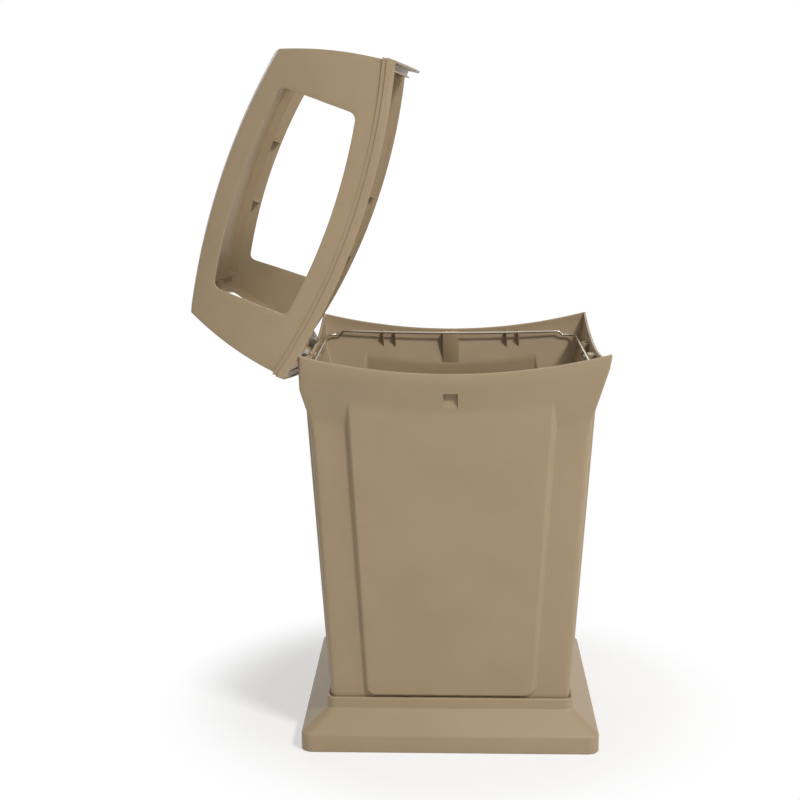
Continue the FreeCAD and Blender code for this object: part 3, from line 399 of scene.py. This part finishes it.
def repeater(name, material):
    """Geometry nodes that set one form on every point, turned by the point's own angle."""
    tree = bpy.data.node_groups.new(name, "GeometryNodeTree")
    tree.interface.new_socket("Points", in_out="INPUT", socket_type="NodeSocketGeometry")
    tree.interface.new_socket("Form", in_out="INPUT", socket_type="NodeSocketObject")
    tree.interface.new_socket("Geometry", in_out="OUTPUT", socket_type="NodeSocketGeometry")
    given = add(tree, "NodeGroupInput")
    form = add(tree, "GeometryNodeObjectInfo", Object=(given, "Form"))
    angle = add(tree, "GeometryNodeInputNamedAttribute", {"data_type": "FLOAT"}, Name="turn")
    turning = add(tree, "ShaderNodeCombineXYZ", Z=(angle, "Attribute"))
    copies = add(tree, "GeometryNodeInstanceOnPoints", Points=(given, "Points"),
                 Instance=(form, "Geometry"), Rotation=(turning, "Vector"))
    real = add(tree, "GeometryNodeRealizeInstances", Geometry=(copies, "Instances"))
    painted = add(tree, "GeometryNodeSetMaterial", Geometry=(real, "Geometry"), Material=material)
    out = add(tree, "NodeGroupOutput")
    tree.links.new(painted.outputs["Geometry"], out.inputs["Geometry"])
    return tree


def repeated(name, form, spots, material):
    """Copies of a form at spots, each given as a point in millimetres and an angle in degrees."""
    made = piece(name, [spot[0] for spot in spots], [], material)
    turn = made.data.attributes.new("turn", "FLOAT", "POINT")
    for n, (_point, degrees) in enumerate(spots):
        turn.data[n].value = math.radians(degrees)
    tree = repeater(f"{name} copies", material)
    modifier = made.modifiers.new("copies", "NODES")
    modifier.node_group = tree
    socket = next(item for item in tree.interface.items_tree if item.name == "Form")
    modifier[socket.identifier] = form
    settle(made)
    bpy.data.objects.remove(form)
    return made


def slab(name, outline, thick, material):
    """A plate cut to an outline of (out, level) points, standing across the front wall."""
    count = len(outline)
    points = [(side * thick / 2, -out, level) for side in (-1, 1) for out, level in outline]
    faces = [list(range(count)), [count + n for n in range(count)][::-1]]
    faces += [[n, n + count, (n + 1) % count + count, (n + 1) % count] for n in range(count)]
    made = piece(name, points, faces, material)
    shape = bmesh.new()
    shape.from_mesh(made.data)
    bmesh.ops.recalc_face_normals(shape, faces=shape.faces)
    shape.to_mesh(made.data)
    shape.free()
    return made


def bow(across):
    """How far the front and rear runs of the ring sag between their bends."""
    return RING_BOW * max(1 - (across / BOW_REACH) ** 2, 0.0)


def rib_outline(seat, half, height, top):
    """The side view of a rib or post: a step for the ring, a blunt tip, and a back sunk to the
    middle of the wall, or just behind the pocket."""
    side = 0 if half == RING_HALF else HINGE_SIDE
    backs = []
    for n in range(BACK_PARTS + 1):
        level = seat - RIB_TIP - height + (top + RIB_TIP + height) * n / BACK_PARTS
        back = wall_face(side, RIB_PLACES[0], level, WALL / 2)
        by_pocket = POCKET_FOOT - POCKET_MARGIN < level < POCKET_TOP + POCKET_MARGIN
        if height == POST_HEIGHT and by_pocket:
            back = min(back, POCKET_BACK - POCKET_LEAN - POST_SKIN)
        backs.append((back, level))
    front = [(half + SEAT_RUN, seat + top), (half + SEAT_RUN, seat), (half - SEAT_RUN, seat),
             (half - SEAT_RUN, seat - RIB_TIP)]
    return backs + front


for kind, thick, height, top, places in (
    ("rib", RIB_THICK, RIB_HEIGHT, RIB_STEP, [sign * u for u in RIB_PLACES for sign in (-1, 1)]),
    ("post", POST_THICK, POST_HEIGHT, POST_TOP, [0.0]),
):
    for name, sides, half, seat in (
        ("front_and_rear", (0, 180), RING_HALF, SEAT - bow(places[0])),
        ("latch_side", (90,), RING_HALF, SEAT - RING_DROP),
        ("hinge_side", (-90,), RING_HINGE_HALF, SEAT - RING_DROP),
    ):
        form = slab(f"{kind} form", rib_outline(seat, half, height, top), thick, tan_body)
        bevel(form, width=0.6, angle=40, segments=2)
        settle(form)
        spots = []
        for degrees in sides:
            for u in places:
                level = bow(places[0]) - bow(u) if name == "front_and_rear" else 0.0
                spot = Matrix.Rotation(math.radians(degrees), 3, "Z") @ Vector((u, 0, level))
                spots.append((spot, degrees))
        ribs = repeated(f"{kind}s_{name}", form, spots, tan_body)
        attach(ribs, "base")

# The bag ring is one bright plated wire, 5 mm thick, bent to a square with round corners.
# Its front and rear runs rise 8 mm to pass over the higher steps, and it lifts straight out.
RING_CORNER, JOG, JOG_RUN, JOG_EASE, JOG_LIFT = 20.0, 243.0, 12.0, 3.0, 1.2
RING_PARTS = 8


def bright_wire(name):
    """Nickel plated wire: a mirror-like metal, its shine broken by a haze about 6 mm across."""
    material = bpy.data.materials.new(name)
    material.use_nodes = True
    tree = material.node_tree
    shader = tree.nodes["Principled BSDF"]
    shader.inputs["Metallic"].default_value = 1.0
    place = add(tree, "ShaderNodeTexCoord")
    haze = add(tree, "ShaderNodeTexNoise", Vector=(place, "Object"), Scale=1 / (6.0 * MM), Detail=2.0)
    rough = add(tree, "ShaderNodeMapRange", Value=(haze, "Fac"), To_Min=0.18, To_Max=0.30)
    tree.links.new(rough.outputs["Result"], shader.inputs["Roughness"])
    # The base colour is darker and warmer than bare nickel: a painted reflection of the tan walls round
    # the ring.
    shader.inputs["Base Color"].default_value = linear("B3AB9D")
    return material


wire_line = []
low = RING_LEVEL - RING_DROP
for turn, (x, y) in enumerate(((RING_HALF, RING_HALF), (-RING_HINGE_HALF, RING_HALF),
                               (-RING_HINGE_HALF, -RING_HALF), (RING_HALF, -RING_HALF))):
    bend = []
    cx = x - math.copysign(RING_CORNER, x)
    cy = y - math.copysign(RING_CORNER, y)
    for n in range(RING_PARTS + 1):
        angle = math.radians(90 * turn + 90 * n / RING_PARTS)
        bend.append((cx + RING_CORNER * math.cos(angle), cy + RING_CORNER * math.sin(angle), low))
    step = math.copysign(JOG + JOG_RUN, x)
    jog = [(step, y, low), (step - math.copysign(JOG_EASE, x), y, low + JOG_LIFT),
           (step - math.copysign(JOG_RUN - JOG_EASE, x), y, RING_LEVEL - JOG_LIFT),
           (math.copysign(JOG, x), y, RING_LEVEL)]
    run = [math.copysign(JOG, x) * (1 - n / RING_PARTS) for n in range(1, RING_PARTS + 1)]
    jog += [(u, y, RING_LEVEL - bow(u)) for u in run]
    wire_line += bend + jog if turn in (0, 2) else jog[-2::-1] + bend
curve = bpy.data.curves.new("bag ring", "CURVE")
curve.dimensions = "3D"
curve.bevel_depth = WIRE * MM
curve.bevel_resolution = 5
line = curve.splines.new("POLY")
line.points.add(len(wire_line) - 1)
for spot, point in zip(line.points, wire_line):
    spot.co = (*(c * MM for c in point), 1.0)
line.use_cyclic_u = True
curve.materials.append(bright_wire("bright plated wire"))
drawn = bpy.data.objects.new("drawn ring", curve)
bpy.context.scene.collection.objects.link(drawn)
bpy.context.view_layer.update()
ring_mesh = bpy.data.meshes.new_from_object(
    drawn.evaluated_get(bpy.context.evaluated_depsgraph_get())
)
bpy.data.objects.remove(drawn)
ring_mesh.shade_smooth()
ring = bpy.data.objects.new("bag_ring", ring_mesh)
bpy.context.scene.collection.objects.link(ring)
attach(ring, "ring")
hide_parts("bag_frame")

# The hood is one moulding, 4 mm thick: four bulged walls, each with a wide window, under a
# shallow dome, and a stepped band round its lip. It is shaped closed and then turned open.
HOOD_RIM, HOOD_WALL, HOOD_HALF, BAND_STEP_HALF = 794.0, 4.0, 316.0, 314.0
WALL_RADIUS, WALL_DROP, WALL_HALF = 715.0, 50.0, 312.5
DOME_RADIUS, DOME_TOP = 1405.0, 264.0
LIP_SAG, BAND_STEP, BAND_TOP = 39.5, 16.5, 24.5
RELIEF = -21.5
SHARP_WEIGHT_ANGLE, CLEAR_OF_BAND, CORNER_ROUNDING = 30.0, 4.0, 9.0
WINDOW_HALF, WINDOW_FOOT, WINDOW_HEAD, WINDOW_SAG, WINDOW_CORNER = 200.0, 18.5, 206.5, 18.0, 16.0
LIP_RADIUS = (HOOD_HALF ** 2 + LIP_SAG ** 2) / (2 * LIP_SAG)
WINDOW_RADIUS = (WINDOW_HALF ** 2 + WINDOW_SAG ** 2) / (2 * WINDOW_SAG)
HINGE = Vector((-295.46, 0.0, 777.83))
OPEN_ANGLE = 70.0
EDGE_RUN = 14.0
EDGE_STEPS, FLAT_STEPS, RINGS = 4, 20, 8


def bulge(level, inset=0.0):
    """The half width of the hood's walls at a level above its rim."""
    middle = WALL_HALF - math.sqrt(WALL_RADIUS ** 2 - WALL_DROP ** 2)
    return middle + math.sqrt((WALL_RADIUS - inset) ** 2 - (level + WALL_DROP) ** 2)


def dome(x, y, inset=0.0):
    """The dome's level above the hood's rim."""
    return DOME_TOP - DOME_RADIUS + math.sqrt((DOME_RADIUS - inset) ** 2 - x * x - y * y)


def lip(across, lift):
    """The level of the lip's arc, or of a line that runs a lift above it."""
    return LIP_RADIUS - LIP_SAG - math.sqrt((LIP_RADIUS - lift) ** 2 - across ** 2)


def dome_edge(across):
    """The level at which a wall meets the dome."""
    level = DOME_TOP
    for _ in range(12):
        level = dome(across, bulge(level))
    return level


def mitre(level_at, start=WALL_HALF):
    """Where a line across a wall meets the next wall."""
    across = start
    for _ in range(12):
        across = bulge(level_at(across))
    return across


def spread(start, end, close):
    """Places from start to end: short steps near both corners, even ones between."""
    way = math.copysign(close, end - start)
    near = [start + way * n for n in range(EDGE_STEPS)]
    far = [end - way * n for n in range(EDGE_STEPS)][::-1]
    first, last = start + way * EDGE_STEPS, end - way * EDGE_STEPS
    flat = [first + (last - first) * n / FLAT_STEPS for n in range(FLAT_STEPS + 1)]
    return near + flat + far


foot_end = mitre(lambda u: lip(u, BAND_TOP))
head_end = mitre(dome_edge)
low_corner, high_corner = lip(foot_end, BAND_TOP), dome_edge(head_end)
outline = [(u, lip(u, BAND_TOP)) for u in spread(-foot_end, foot_end, EDGE_RUN)]
outline += [(bulge(z), z) for z in spread(low_corner, high_corner, EDGE_RUN)[1:]]
outline += [(u, dome_edge(u)) for u in spread(head_end, -head_end, EDGE_RUN)[1:]]
outline += [(-bulge(z), z) for z in spread(high_corner, low_corner, EDGE_RUN)[1:-1]]


def window_line(u, head):
    """The level of the window's lower or upper edge."""
    sag = WINDOW_RADIUS - math.sqrt(WINDOW_RADIUS ** 2 - u * u)
    return WINDOW_HEAD - sag if head else WINDOW_FOOT + sag


def window_corner(right, head):
    """The points round a corner of the window, from the side before it to the one after."""
    u = (WINDOW_HALF - WINDOW_CORNER) * right
    inward = -1 if head else 1
    z = window_line(WINDOW_HALF - WINDOW_CORNER, head) + WINDOW_CORNER * inward
    start = {(1, False): -90, (1, True): 0, (-1, True): 90, (-1, False): 180}[(right, head)]
    steps = 2 * EDGE_STEPS
    angles = [math.radians(start + 90 * n / steps) for n in range(steps + 1)]
    return [(u + WINDOW_CORNER * math.cos(a), z + WINDOW_CORNER * math.sin(a)) for a in angles]


flat_u = [(WINDOW_HALF - WINDOW_CORNER) * (2 * n / FLAT_STEPS - 1) for n in range(1, FLAT_STEPS)]
hole = window_corner(-1, False)[EDGE_STEPS:]
hole += [(u, window_line(u, False)) for u in flat_u]
hole += window_corner(1, False)
rise_low, rise_high = hole[-1][1], window_corner(1, True)[0][1]
sides = [rise_low + (rise_high - rise_low) * n / FLAT_STEPS for n in range(1, FLAT_STEPS)]
hole += [(WINDOW_HALF, z) for z in sides]
hole += window_corner(1, True)
hole += [(u, window_line(u, True)) for u in flat_u[::-1]]
hole += window_corner(-1, True)
hole += [(-WINDOW_HALF, z) for z in sides[::-1]]
hole += window_corner(-1, False)[:EDGE_STEPS]

hood_points, hood_faces = [], []


def add_grid(loops, side, closed):
    """Faces between loops of (across, out, level), turned to a side of the hood."""
    spin = Matrix.Rotation(math.radians(90 * side), 3, "Z")
    first = len(hood_points)
    count = len(loops[0])
    for loop in loops:
        for across, out, level in loop:
            hood_points.append(spin @ Vector((across, -out, HOOD_RIM + level)))
    for row in range(len(loops) - 1):
        for n in range(count if closed else count - 1):
            a = first + row * count + n
            b = first + row * count + (n + 1) % count
            hood_faces.append([a, a + count, b + count, b])


foot_line = outline[:FLAT_STEPS + 2 * EDGE_STEPS + 1]
for side in range(4):
    loops = []
    for n in range(RINGS + 1):
        share = n / RINGS
        loop = []
        for (u0, z0), (u1, z1) in zip(hole, outline):
            u, z = u0 + (u1 - u0) * share, z0 + (z1 - z0) * share
            loop.append((u, bulge(z), z))
        loops.append(loop)
    add_grid(loops, side, True)
    # Each line of the band has a half width, a lift above the lip, and the least height that it
    # keeps above the relief, which cuts the band short on the hinge side.
    floor_level = RELIEF if side == HINGE_SIDE else -2 * LIP_SAG
    band = [[(u, bulge(z), z) for u, z in foot_line]]
    for half, lift, least in (
        (BAND_STEP_HALF, BAND_TOP, 1.5), (BAND_STEP_HALF, BAND_STEP, 1.0),
        (HOOD_HALF, BAND_STEP, 0.9), (HOOD_HALF, BAND_STEP / 2, 0.5), (HOOD_HALF, 0.0, 0.0),
    ):
        scaled = [u * half / foot_end for u, _z in foot_line]
        band.append([(u, half, max(lip(u, lift), floor_level + least)) for u in scaled])
    add_grid(band, side, False)

edge_steps = len(foot_line) - 1
head_line = [u for u, _z in outline[2 * edge_steps:3 * edge_steps + 1]][::-1]
first = len(hood_points)
for v in head_line:
    for u in head_line:
        reach_u = bulge(dome_edge(v)) / head_end
        reach_v = bulge(dome_edge(u)) / head_end
        x = u * (1 + (reach_u - 1) * abs(u / head_end))
        y = v * (1 + (reach_v - 1) * abs(v / head_end))
        hood_points.append((x, y, HOOD_RIM + dome(x, y)))
for row in range(edge_steps):
    for n in range(edge_steps):
        a = first + row * (edge_steps + 1) + n
        hood_faces.append([a, a + 1, a + edge_steps + 2, a + edge_steps + 1])

tan_hood = moulded_polyethylene("moulded polyethylene, hood", TAN, DEEPER_TAN)
hood = piece("hood", hood_points, hood_faces, tan_hood)
shape = bmesh.new()
shape.from_mesh(hood.data)
bmesh.ops.remove_doubles(shape, verts=shape.verts, dist=0.05 * MM)
bmesh.ops.recalc_face_normals(shape, faces=shape.faces)
weight = shape.edges.layers.float.new("bevel_weight_edge")
flat_enough = math.radians(SHARP_WEIGHT_ANGLE)
for edge in shape.edges:
    if len(edge.link_faces) != 2 or edge.calc_face_angle() < flat_enough:
        continue
    middle = (edge.verts[0].co + edge.verts[1].co) / 2
    upright = abs(abs(middle.x) - abs(middle.y)) < 0.5 * MM
    band_level = HOOD_RIM + lip(min(abs(middle.x), abs(middle.y)) / MM, BAND_TOP)
    above_band = middle.z > (band_level + CLEAR_OF_BAND) * MM
    edge[weight] = 1.0 if above_band else (0.5 if upright else 0.2)
shape.to_mesh(hood.data)
shape.free()
corners = hood.modifiers.new("corners", "BEVEL")
corners.limit_method = "WEIGHT"
corners.width = CORNER_ROUNDING * MM
corners.segments = 5
wall = hood.modifiers.new("wall", "SOLIDIFY")
wall.thickness = HOOD_WALL * MM
wall.offset = -1.0
wall.use_even_offset = True
bevel(hood, width=1.6, angle=60, segments=3)
settle(hood, sharp=35)


def turn_open(made):
    """Turn a piece of the closed hood about the hinges to where it stands open."""
    hinge = Matrix.Translation(HINGE * MM)
    made.data.transform(hinge @ Matrix.Rotation(math.radians(-OPEN_ANGLE), 4, "Y") @ hinge.inverted())
    made.data.update()
    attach(made, "hood")


turn_open(hood)
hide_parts("hood_shell")

# Inside the lip a ledge rests on the body's rim, and a flange below it hangs just inside the
# rim. They stop short of the hinge side, and the flange has gaps over the ribs.
FLANGE_OUT, FLANGE_THICK, FLANGE_LIFT, LEDGE_THICK = 299.0, 3.0, 6.5, 3.0
FLANGE_END, GAP_LEVEL, LEDGE_OUT = 258.0, -18.3, 310.5
GAPS, GAP_STEP = ((-21.0, 21.0), (121.0, 160.0), (-160.0, -121.0)), 0.3
TO_CORNER = 2 * HOOD_HALF
EVEN = [-240, -210, -180, -140, -120, -90, -60, -30, 0, 30, 60, 90, 120, 140, 180, 210, 240]
LAST_COLUMN = 270.0


def swept(name, profile, stretches, level, material):
    """A strip with a closed profile of (out, lift), run along stretches of the square. A column
    past the hood's half width stands for a corner, where the strip is mitred."""
    made_points, made_faces = [], []
    count = len(profile)
    for side, columns in stretches:
        spin = Matrix.Rotation(math.radians(90 * side), 3, "Z")
        first = len(made_points)
        for column in columns:
            for out, lift in profile:
                across = math.copysign(out, column) if abs(column) > HOOD_HALF else column
                made_points.append(spin @ Vector((across, -out, HOOD_RIM + level(across, out, lift))))
        made_faces.append([first + n for n in range(count)])
        last = first + (len(columns) - 1) * count
        made_faces.append([last + n for n in range(count)][::-1])
        for row in range(len(columns) - 1):
            for n in range(count):
                a, b = first + row * count + n, first + row * count + (n + 1) % count
                made_faces.append([a, a + count, b + count, b])
    made = piece(name, made_points, made_faces, material)
    shape = bmesh.new()
    shape.from_mesh(made.data)
    bmesh.ops.recalc_face_normals(shape, faces=shape.faces)
    shape.to_mesh(made.data)
    shape.free()
    return made


def flange_level(across, _out, lift):
    """The arc of the ledge or flange, raised where the flange passes over a rib."""
    level = lip(across, lift)
    over_rib = any(low < across < high for low, high in GAPS)
    return max(level, GAP_LEVEL) if over_rib and lift < BAND_TOP - LEDGE_THICK else level


def latch_level(across, _out, lift):
    """The same on the latch side, where the flange is short all along."""
    level = lip(across, lift)
    return max(level, GAP_LEVEL) if lift < BAND_TOP - LEDGE_THICK else level


breaks = [edge + step for gap in GAPS for edge in gap for step in (-GAP_STEP, GAP_STEP)]
columns = sorted(breaks + EVEN)
ledge_bottom = BAND_TOP - LEDGE_THICK
ledge_profile = [
    (LEDGE_OUT, BAND_TOP), (LEDGE_OUT, ledge_bottom),
    (FLANGE_OUT, ledge_bottom), (FLANGE_OUT, FLANGE_LIFT),
    (FLANGE_OUT - FLANGE_THICK, FLANGE_LIFT), (FLANGE_OUT - FLANGE_THICK, BAND_TOP),
]
for name, side, run, levels in (
    ("front", 0, [-FLANGE_END] + columns + [LAST_COLUMN, TO_CORNER], flange_level),
    ("latch", 1, [-TO_CORNER, -LAST_COLUMN] + columns + [LAST_COLUMN, TO_CORNER], latch_level),
    ("rear", 2, [-TO_CORNER, -LAST_COLUMN] + columns + [FLANGE_END], flange_level),
):
    ledge = swept(f"hood_ledge_{name}", ledge_profile, [(side, run)], levels, tan_hood)
    settle(ledge)
    turn_open(ledge)

# Under the dome a rib runs round and leaves a gutter beside the walls. Eight small webs, two on
# each side, brace it to the walls.
GUTTER_HALF, GUTTER_THICK, GUTTER_DEPTH = 239.0, 3.0, 22.0
WEB_PLACE, WEB_THICK, WEB_DEPTH = 70.0, 4.0, 34.0
SUNK, WEB_SUNK, GUTTER_STEP, OVERLAP = 2.0, 5.0, 24.0, 1.0


def under_dome(across, out, inset):
    """The level a depth below the dome."""
    return dome(across, out, inset)


gutter_profile = [
    (GUTTER_HALF, SUNK), (GUTTER_HALF, GUTTER_DEPTH),
    (GUTTER_HALF - GUTTER_THICK, GUTTER_DEPTH), (GUTTER_HALF - GUTTER_THICK, SUNK),
]
run = [-TO_CORNER] + [GUTTER_STEP * n for n in range(-9, 10)] + [TO_CORNER]
gutter = swept("gutter_rib", gutter_profile, [(side, run) for side in range(4)], under_dome, tan_hood)
settle(gutter)
turn_open(gutter)
web_out = bulge(dome_edge(WEB_PLACE)) - HOOD_WALL + OVERLAP
web_foot = bulge(dome_edge(WEB_PLACE) - WEB_DEPTH) - HOOD_WALL + OVERLAP
web_outline = [
    (GUTTER_HALF - OVERLAP, HOOD_RIM + dome(WEB_PLACE, GUTTER_HALF, SUNK)),
    (GUTTER_HALF - OVERLAP, HOOD_RIM + dome(WEB_PLACE, GUTTER_HALF, WEB_DEPTH)),
    (web_foot, HOOD_RIM + dome(WEB_PLACE, web_out, WEB_DEPTH)),
    (web_out, HOOD_RIM + dome(WEB_PLACE, web_out, WEB_SUNK)),
]
web = slab("web form", web_outline, WEB_THICK, tan_hood)
bevel(web, width=0.6, angle=40, segments=2)
settle(web)
spots = []
for side in range(4):
    for u in (-WEB_PLACE, WEB_PLACE):
        spin = Matrix.Rotation(math.radians(90 * side), 3, "Z")
        spots.append((spin @ Vector((u, 0, 0)), 90 * side))
webs = repeated("gutter_webs", web, spots, tan_hood)
turn_open(webs)

# Two pads inside the hinge side carry the hood's hinge leaves.
PAD_FACE, PAD_HALF, PAD_LOW, PAD_HIGH = 298.96, 27.0, 785.33, 812.33
HINGE_PLACE, PAD_INSET = 95.0, 1.0
for name, y in (("front", -HINGE_PLACE), ("rear", HINGE_PLACE)):
    low_out = bulge(PAD_LOW - HOOD_RIM) - PAD_INSET
    high_out = bulge(PAD_HIGH - HOOD_RIM) - PAD_INSET
    pad_outline = [(PAD_FACE, PAD_LOW), (low_out, PAD_LOW), (high_out, PAD_HIGH), (PAD_FACE, PAD_HIGH)]
    pad = slab(f"hinge_pad_{name}", pad_outline, 2 * PAD_HALF, tan_hood)
    bevel(pad, width=0.8, angle=40, segments=2)
    settle(pad)
    to_hinge_side = Matrix.Rotation(math.radians(-90), 4, "Z")
    pad.data.transform(Matrix.Translation((0, y * MM, 0)) @ to_hinge_side)
    turn_open(pad)

# Two steel hinges join the hood to the body: a leaf riveted to the body's wall, a leaf screwed
# to the hood's pad, and a headed pin. They are plain stainless, so warm grey and brushed.
stainless = plated_steel("stainless steel", "9A948A", 0.38)
dress([
    "hinge_leaf_body_front", "hinge_leaf_body_rear", "hinge_leaf_hood_front", "hinge_leaf_hood_rear",
    "hinge_pin_front", "hinge_pin_rear", "hinge_rivets", "hinge_screws",
], stainless)

# The studio: a pale floor that keeps the bin's shadow near it and fades to white, a white
# backdrop for the camera and for gloss, and soft lamps. The strongest stands upper right, and a
# side lamp draws the light line along the right edge of the panels.
FLOOR_HALF, FLOOR_FADE, FLOOR_GLOW = 9000, (0.40, 0.66), 0.5
SOFT_LIGHT, AIM = 0.205, (-0.05, 0.0, 0.65)


def seen_directly(tree):
    """One for camera, glossy and transmission rays, and zero for the light on the bin."""
    path = add(tree, "ShaderNodeLightPath")
    either = add(tree, "ShaderNodeMath", {"operation": "MAXIMUM"})
    tree.links.new(path.outputs["Is Camera Ray"], either.inputs[0])
    tree.links.new(path.outputs["Is Glossy Ray"], either.inputs[1])
    any_of = add(tree, "ShaderNodeMath", {"operation": "MAXIMUM"})
    tree.links.new(either.outputs["Value"], any_of.inputs[0])
    tree.links.new(path.outputs["Is Transmission Ray"], any_of.inputs[1])
    return any_of


def mixed(tree, amount, first, second, target):
    """Mix two shaders by an amount into a target input."""
    mix = add(tree, "ShaderNodeMixShader")
    tree.links.new(amount.outputs[0], mix.inputs[0])
    tree.links.new(first.outputs[0], mix.inputs[1])
    tree.links.new(second.outputs[0], mix.inputs[2])
    tree.links.new(mix.outputs["Shader"], target)


floor_material = bpy.data.materials.new("studio floor")
floor_material.use_nodes = True
tree = floor_material.node_tree
tree.nodes.clear()
paint = add(tree, "ShaderNodeBsdfDiffuse", Color=linear("FFFFFF"))
glow = add(tree, "ShaderNodeEmission", Color=linear("FFFFFF"), Strength=1.0)
place = add(tree, "ShaderNodeTexCoord")
reach = add(tree, "ShaderNodeVectorMath", {"operation": "LENGTH"}, Vector=(place, "Object"))
fade = add(tree, "ShaderNodeMapRange", {"interpolation_type": "SMOOTHSTEP"}, Value=(reach, "Value"),
           From_Min=FLOOR_FADE[0], From_Max=FLOOR_FADE[1], To_Min=FLOOR_GLOW, To_Max=1.0)
amount = add(tree, "ShaderNodeMath", {"operation": "MULTIPLY"})
tree.links.new(fade.outputs["Result"], amount.inputs[0])
tree.links.new(seen_directly(tree).outputs["Value"], amount.inputs[1])
surface = add(tree, "ShaderNodeOutputMaterial")
mixed(tree, amount, paint, glow, surface.inputs["Surface"])
ends = ((-1, -1), (1, -1), (1, 1), (-1, 1))
floor = piece("studio_floor", [(x * FLOOR_HALF, y * FLOOR_HALF, 0) for x, y in ends],
              [[0, 1, 2, 3]], floor_material)

world = bpy.data.worlds.new("studio")
bpy.context.scene.world = world
world.use_nodes = True
tree = world.node_tree
tree.nodes.clear()
soft = add(tree, "ShaderNodeBackground", Color=linear("FFFFFF"), Strength=SOFT_LIGHT)
white = add(tree, "ShaderNodeBackground", Color=linear("FFFFFF"), Strength=1.0)
sky = add(tree, "ShaderNodeOutputWorld")
mixed(tree, seen_directly(tree), soft, white, sky.inputs["Surface"])

for name, place, size, power in (
    ("key", (2.6, -3.4, 4.7), 1.0, 230.0),
    ("fill", (-2.6, -2.4, 2.8), 1.6, 8.0),
    ("side", (3.6, -1.5, 1.6), 1.0, 22.0),
    ("top", (-0.4, -0.9, 3.6), 1.4, 4.0),
    ("rear", (-0.6, 3.0, 2.4), 2.0, 26.0),
):
    lamp = bpy.data.lights.new(name, "AREA")
    lamp.size = size
    lamp.energy = power
    shining = bpy.data.objects.new(name, lamp)
    shining.location = place
    shining.rotation_euler = (Vector(AIM) - Vector(place)).to_track_quat("-Z", "Y").to_euler()
    bpy.context.scene.collection.objects.link(shining)

# The camera stands in front of the body, as high as the open hood, and looks a little down and
# to the left, as the photograph does.
FOCUS, YAW, PITCH, ROLL = 1552.16, 1.9488, 10.8717, 0.2479
SENSOR, PHOTO_WIDTH = 36.0, 800
EYE = Vector((2.76, -3222.63, 1283.47))
yaw, pitch, roll = math.radians(YAW), math.radians(PITCH), math.radians(ROLL)
ahead = Vector((-math.sin(yaw) * math.cos(pitch), math.cos(yaw) * math.cos(pitch), -math.sin(pitch)))
level_right = Vector((math.cos(yaw), math.sin(yaw), 0.0))
level_down = ahead.cross(level_right)
right = math.cos(roll) * level_right + math.sin(roll) * level_down
down = -math.sin(roll) * level_right + math.cos(roll) * level_down
lens = bpy.data.cameras.new("camera")
lens.sensor_fit = "HORIZONTAL"
lens.sensor_width = SENSOR
lens.lens = FOCUS * SENSOR / PHOTO_WIDTH
camera = bpy.data.objects.new("camera", lens)
bpy.context.scene.collection.objects.link(camera)
facing = Matrix((right, -down, -ahead)).transposed().to_4x4()
camera.matrix_world = Matrix.Translation(EYE * MM) @ facing
bpy.context.scene.camera = camera
bpy.context.scene.view_settings.view_transform = "Standard"
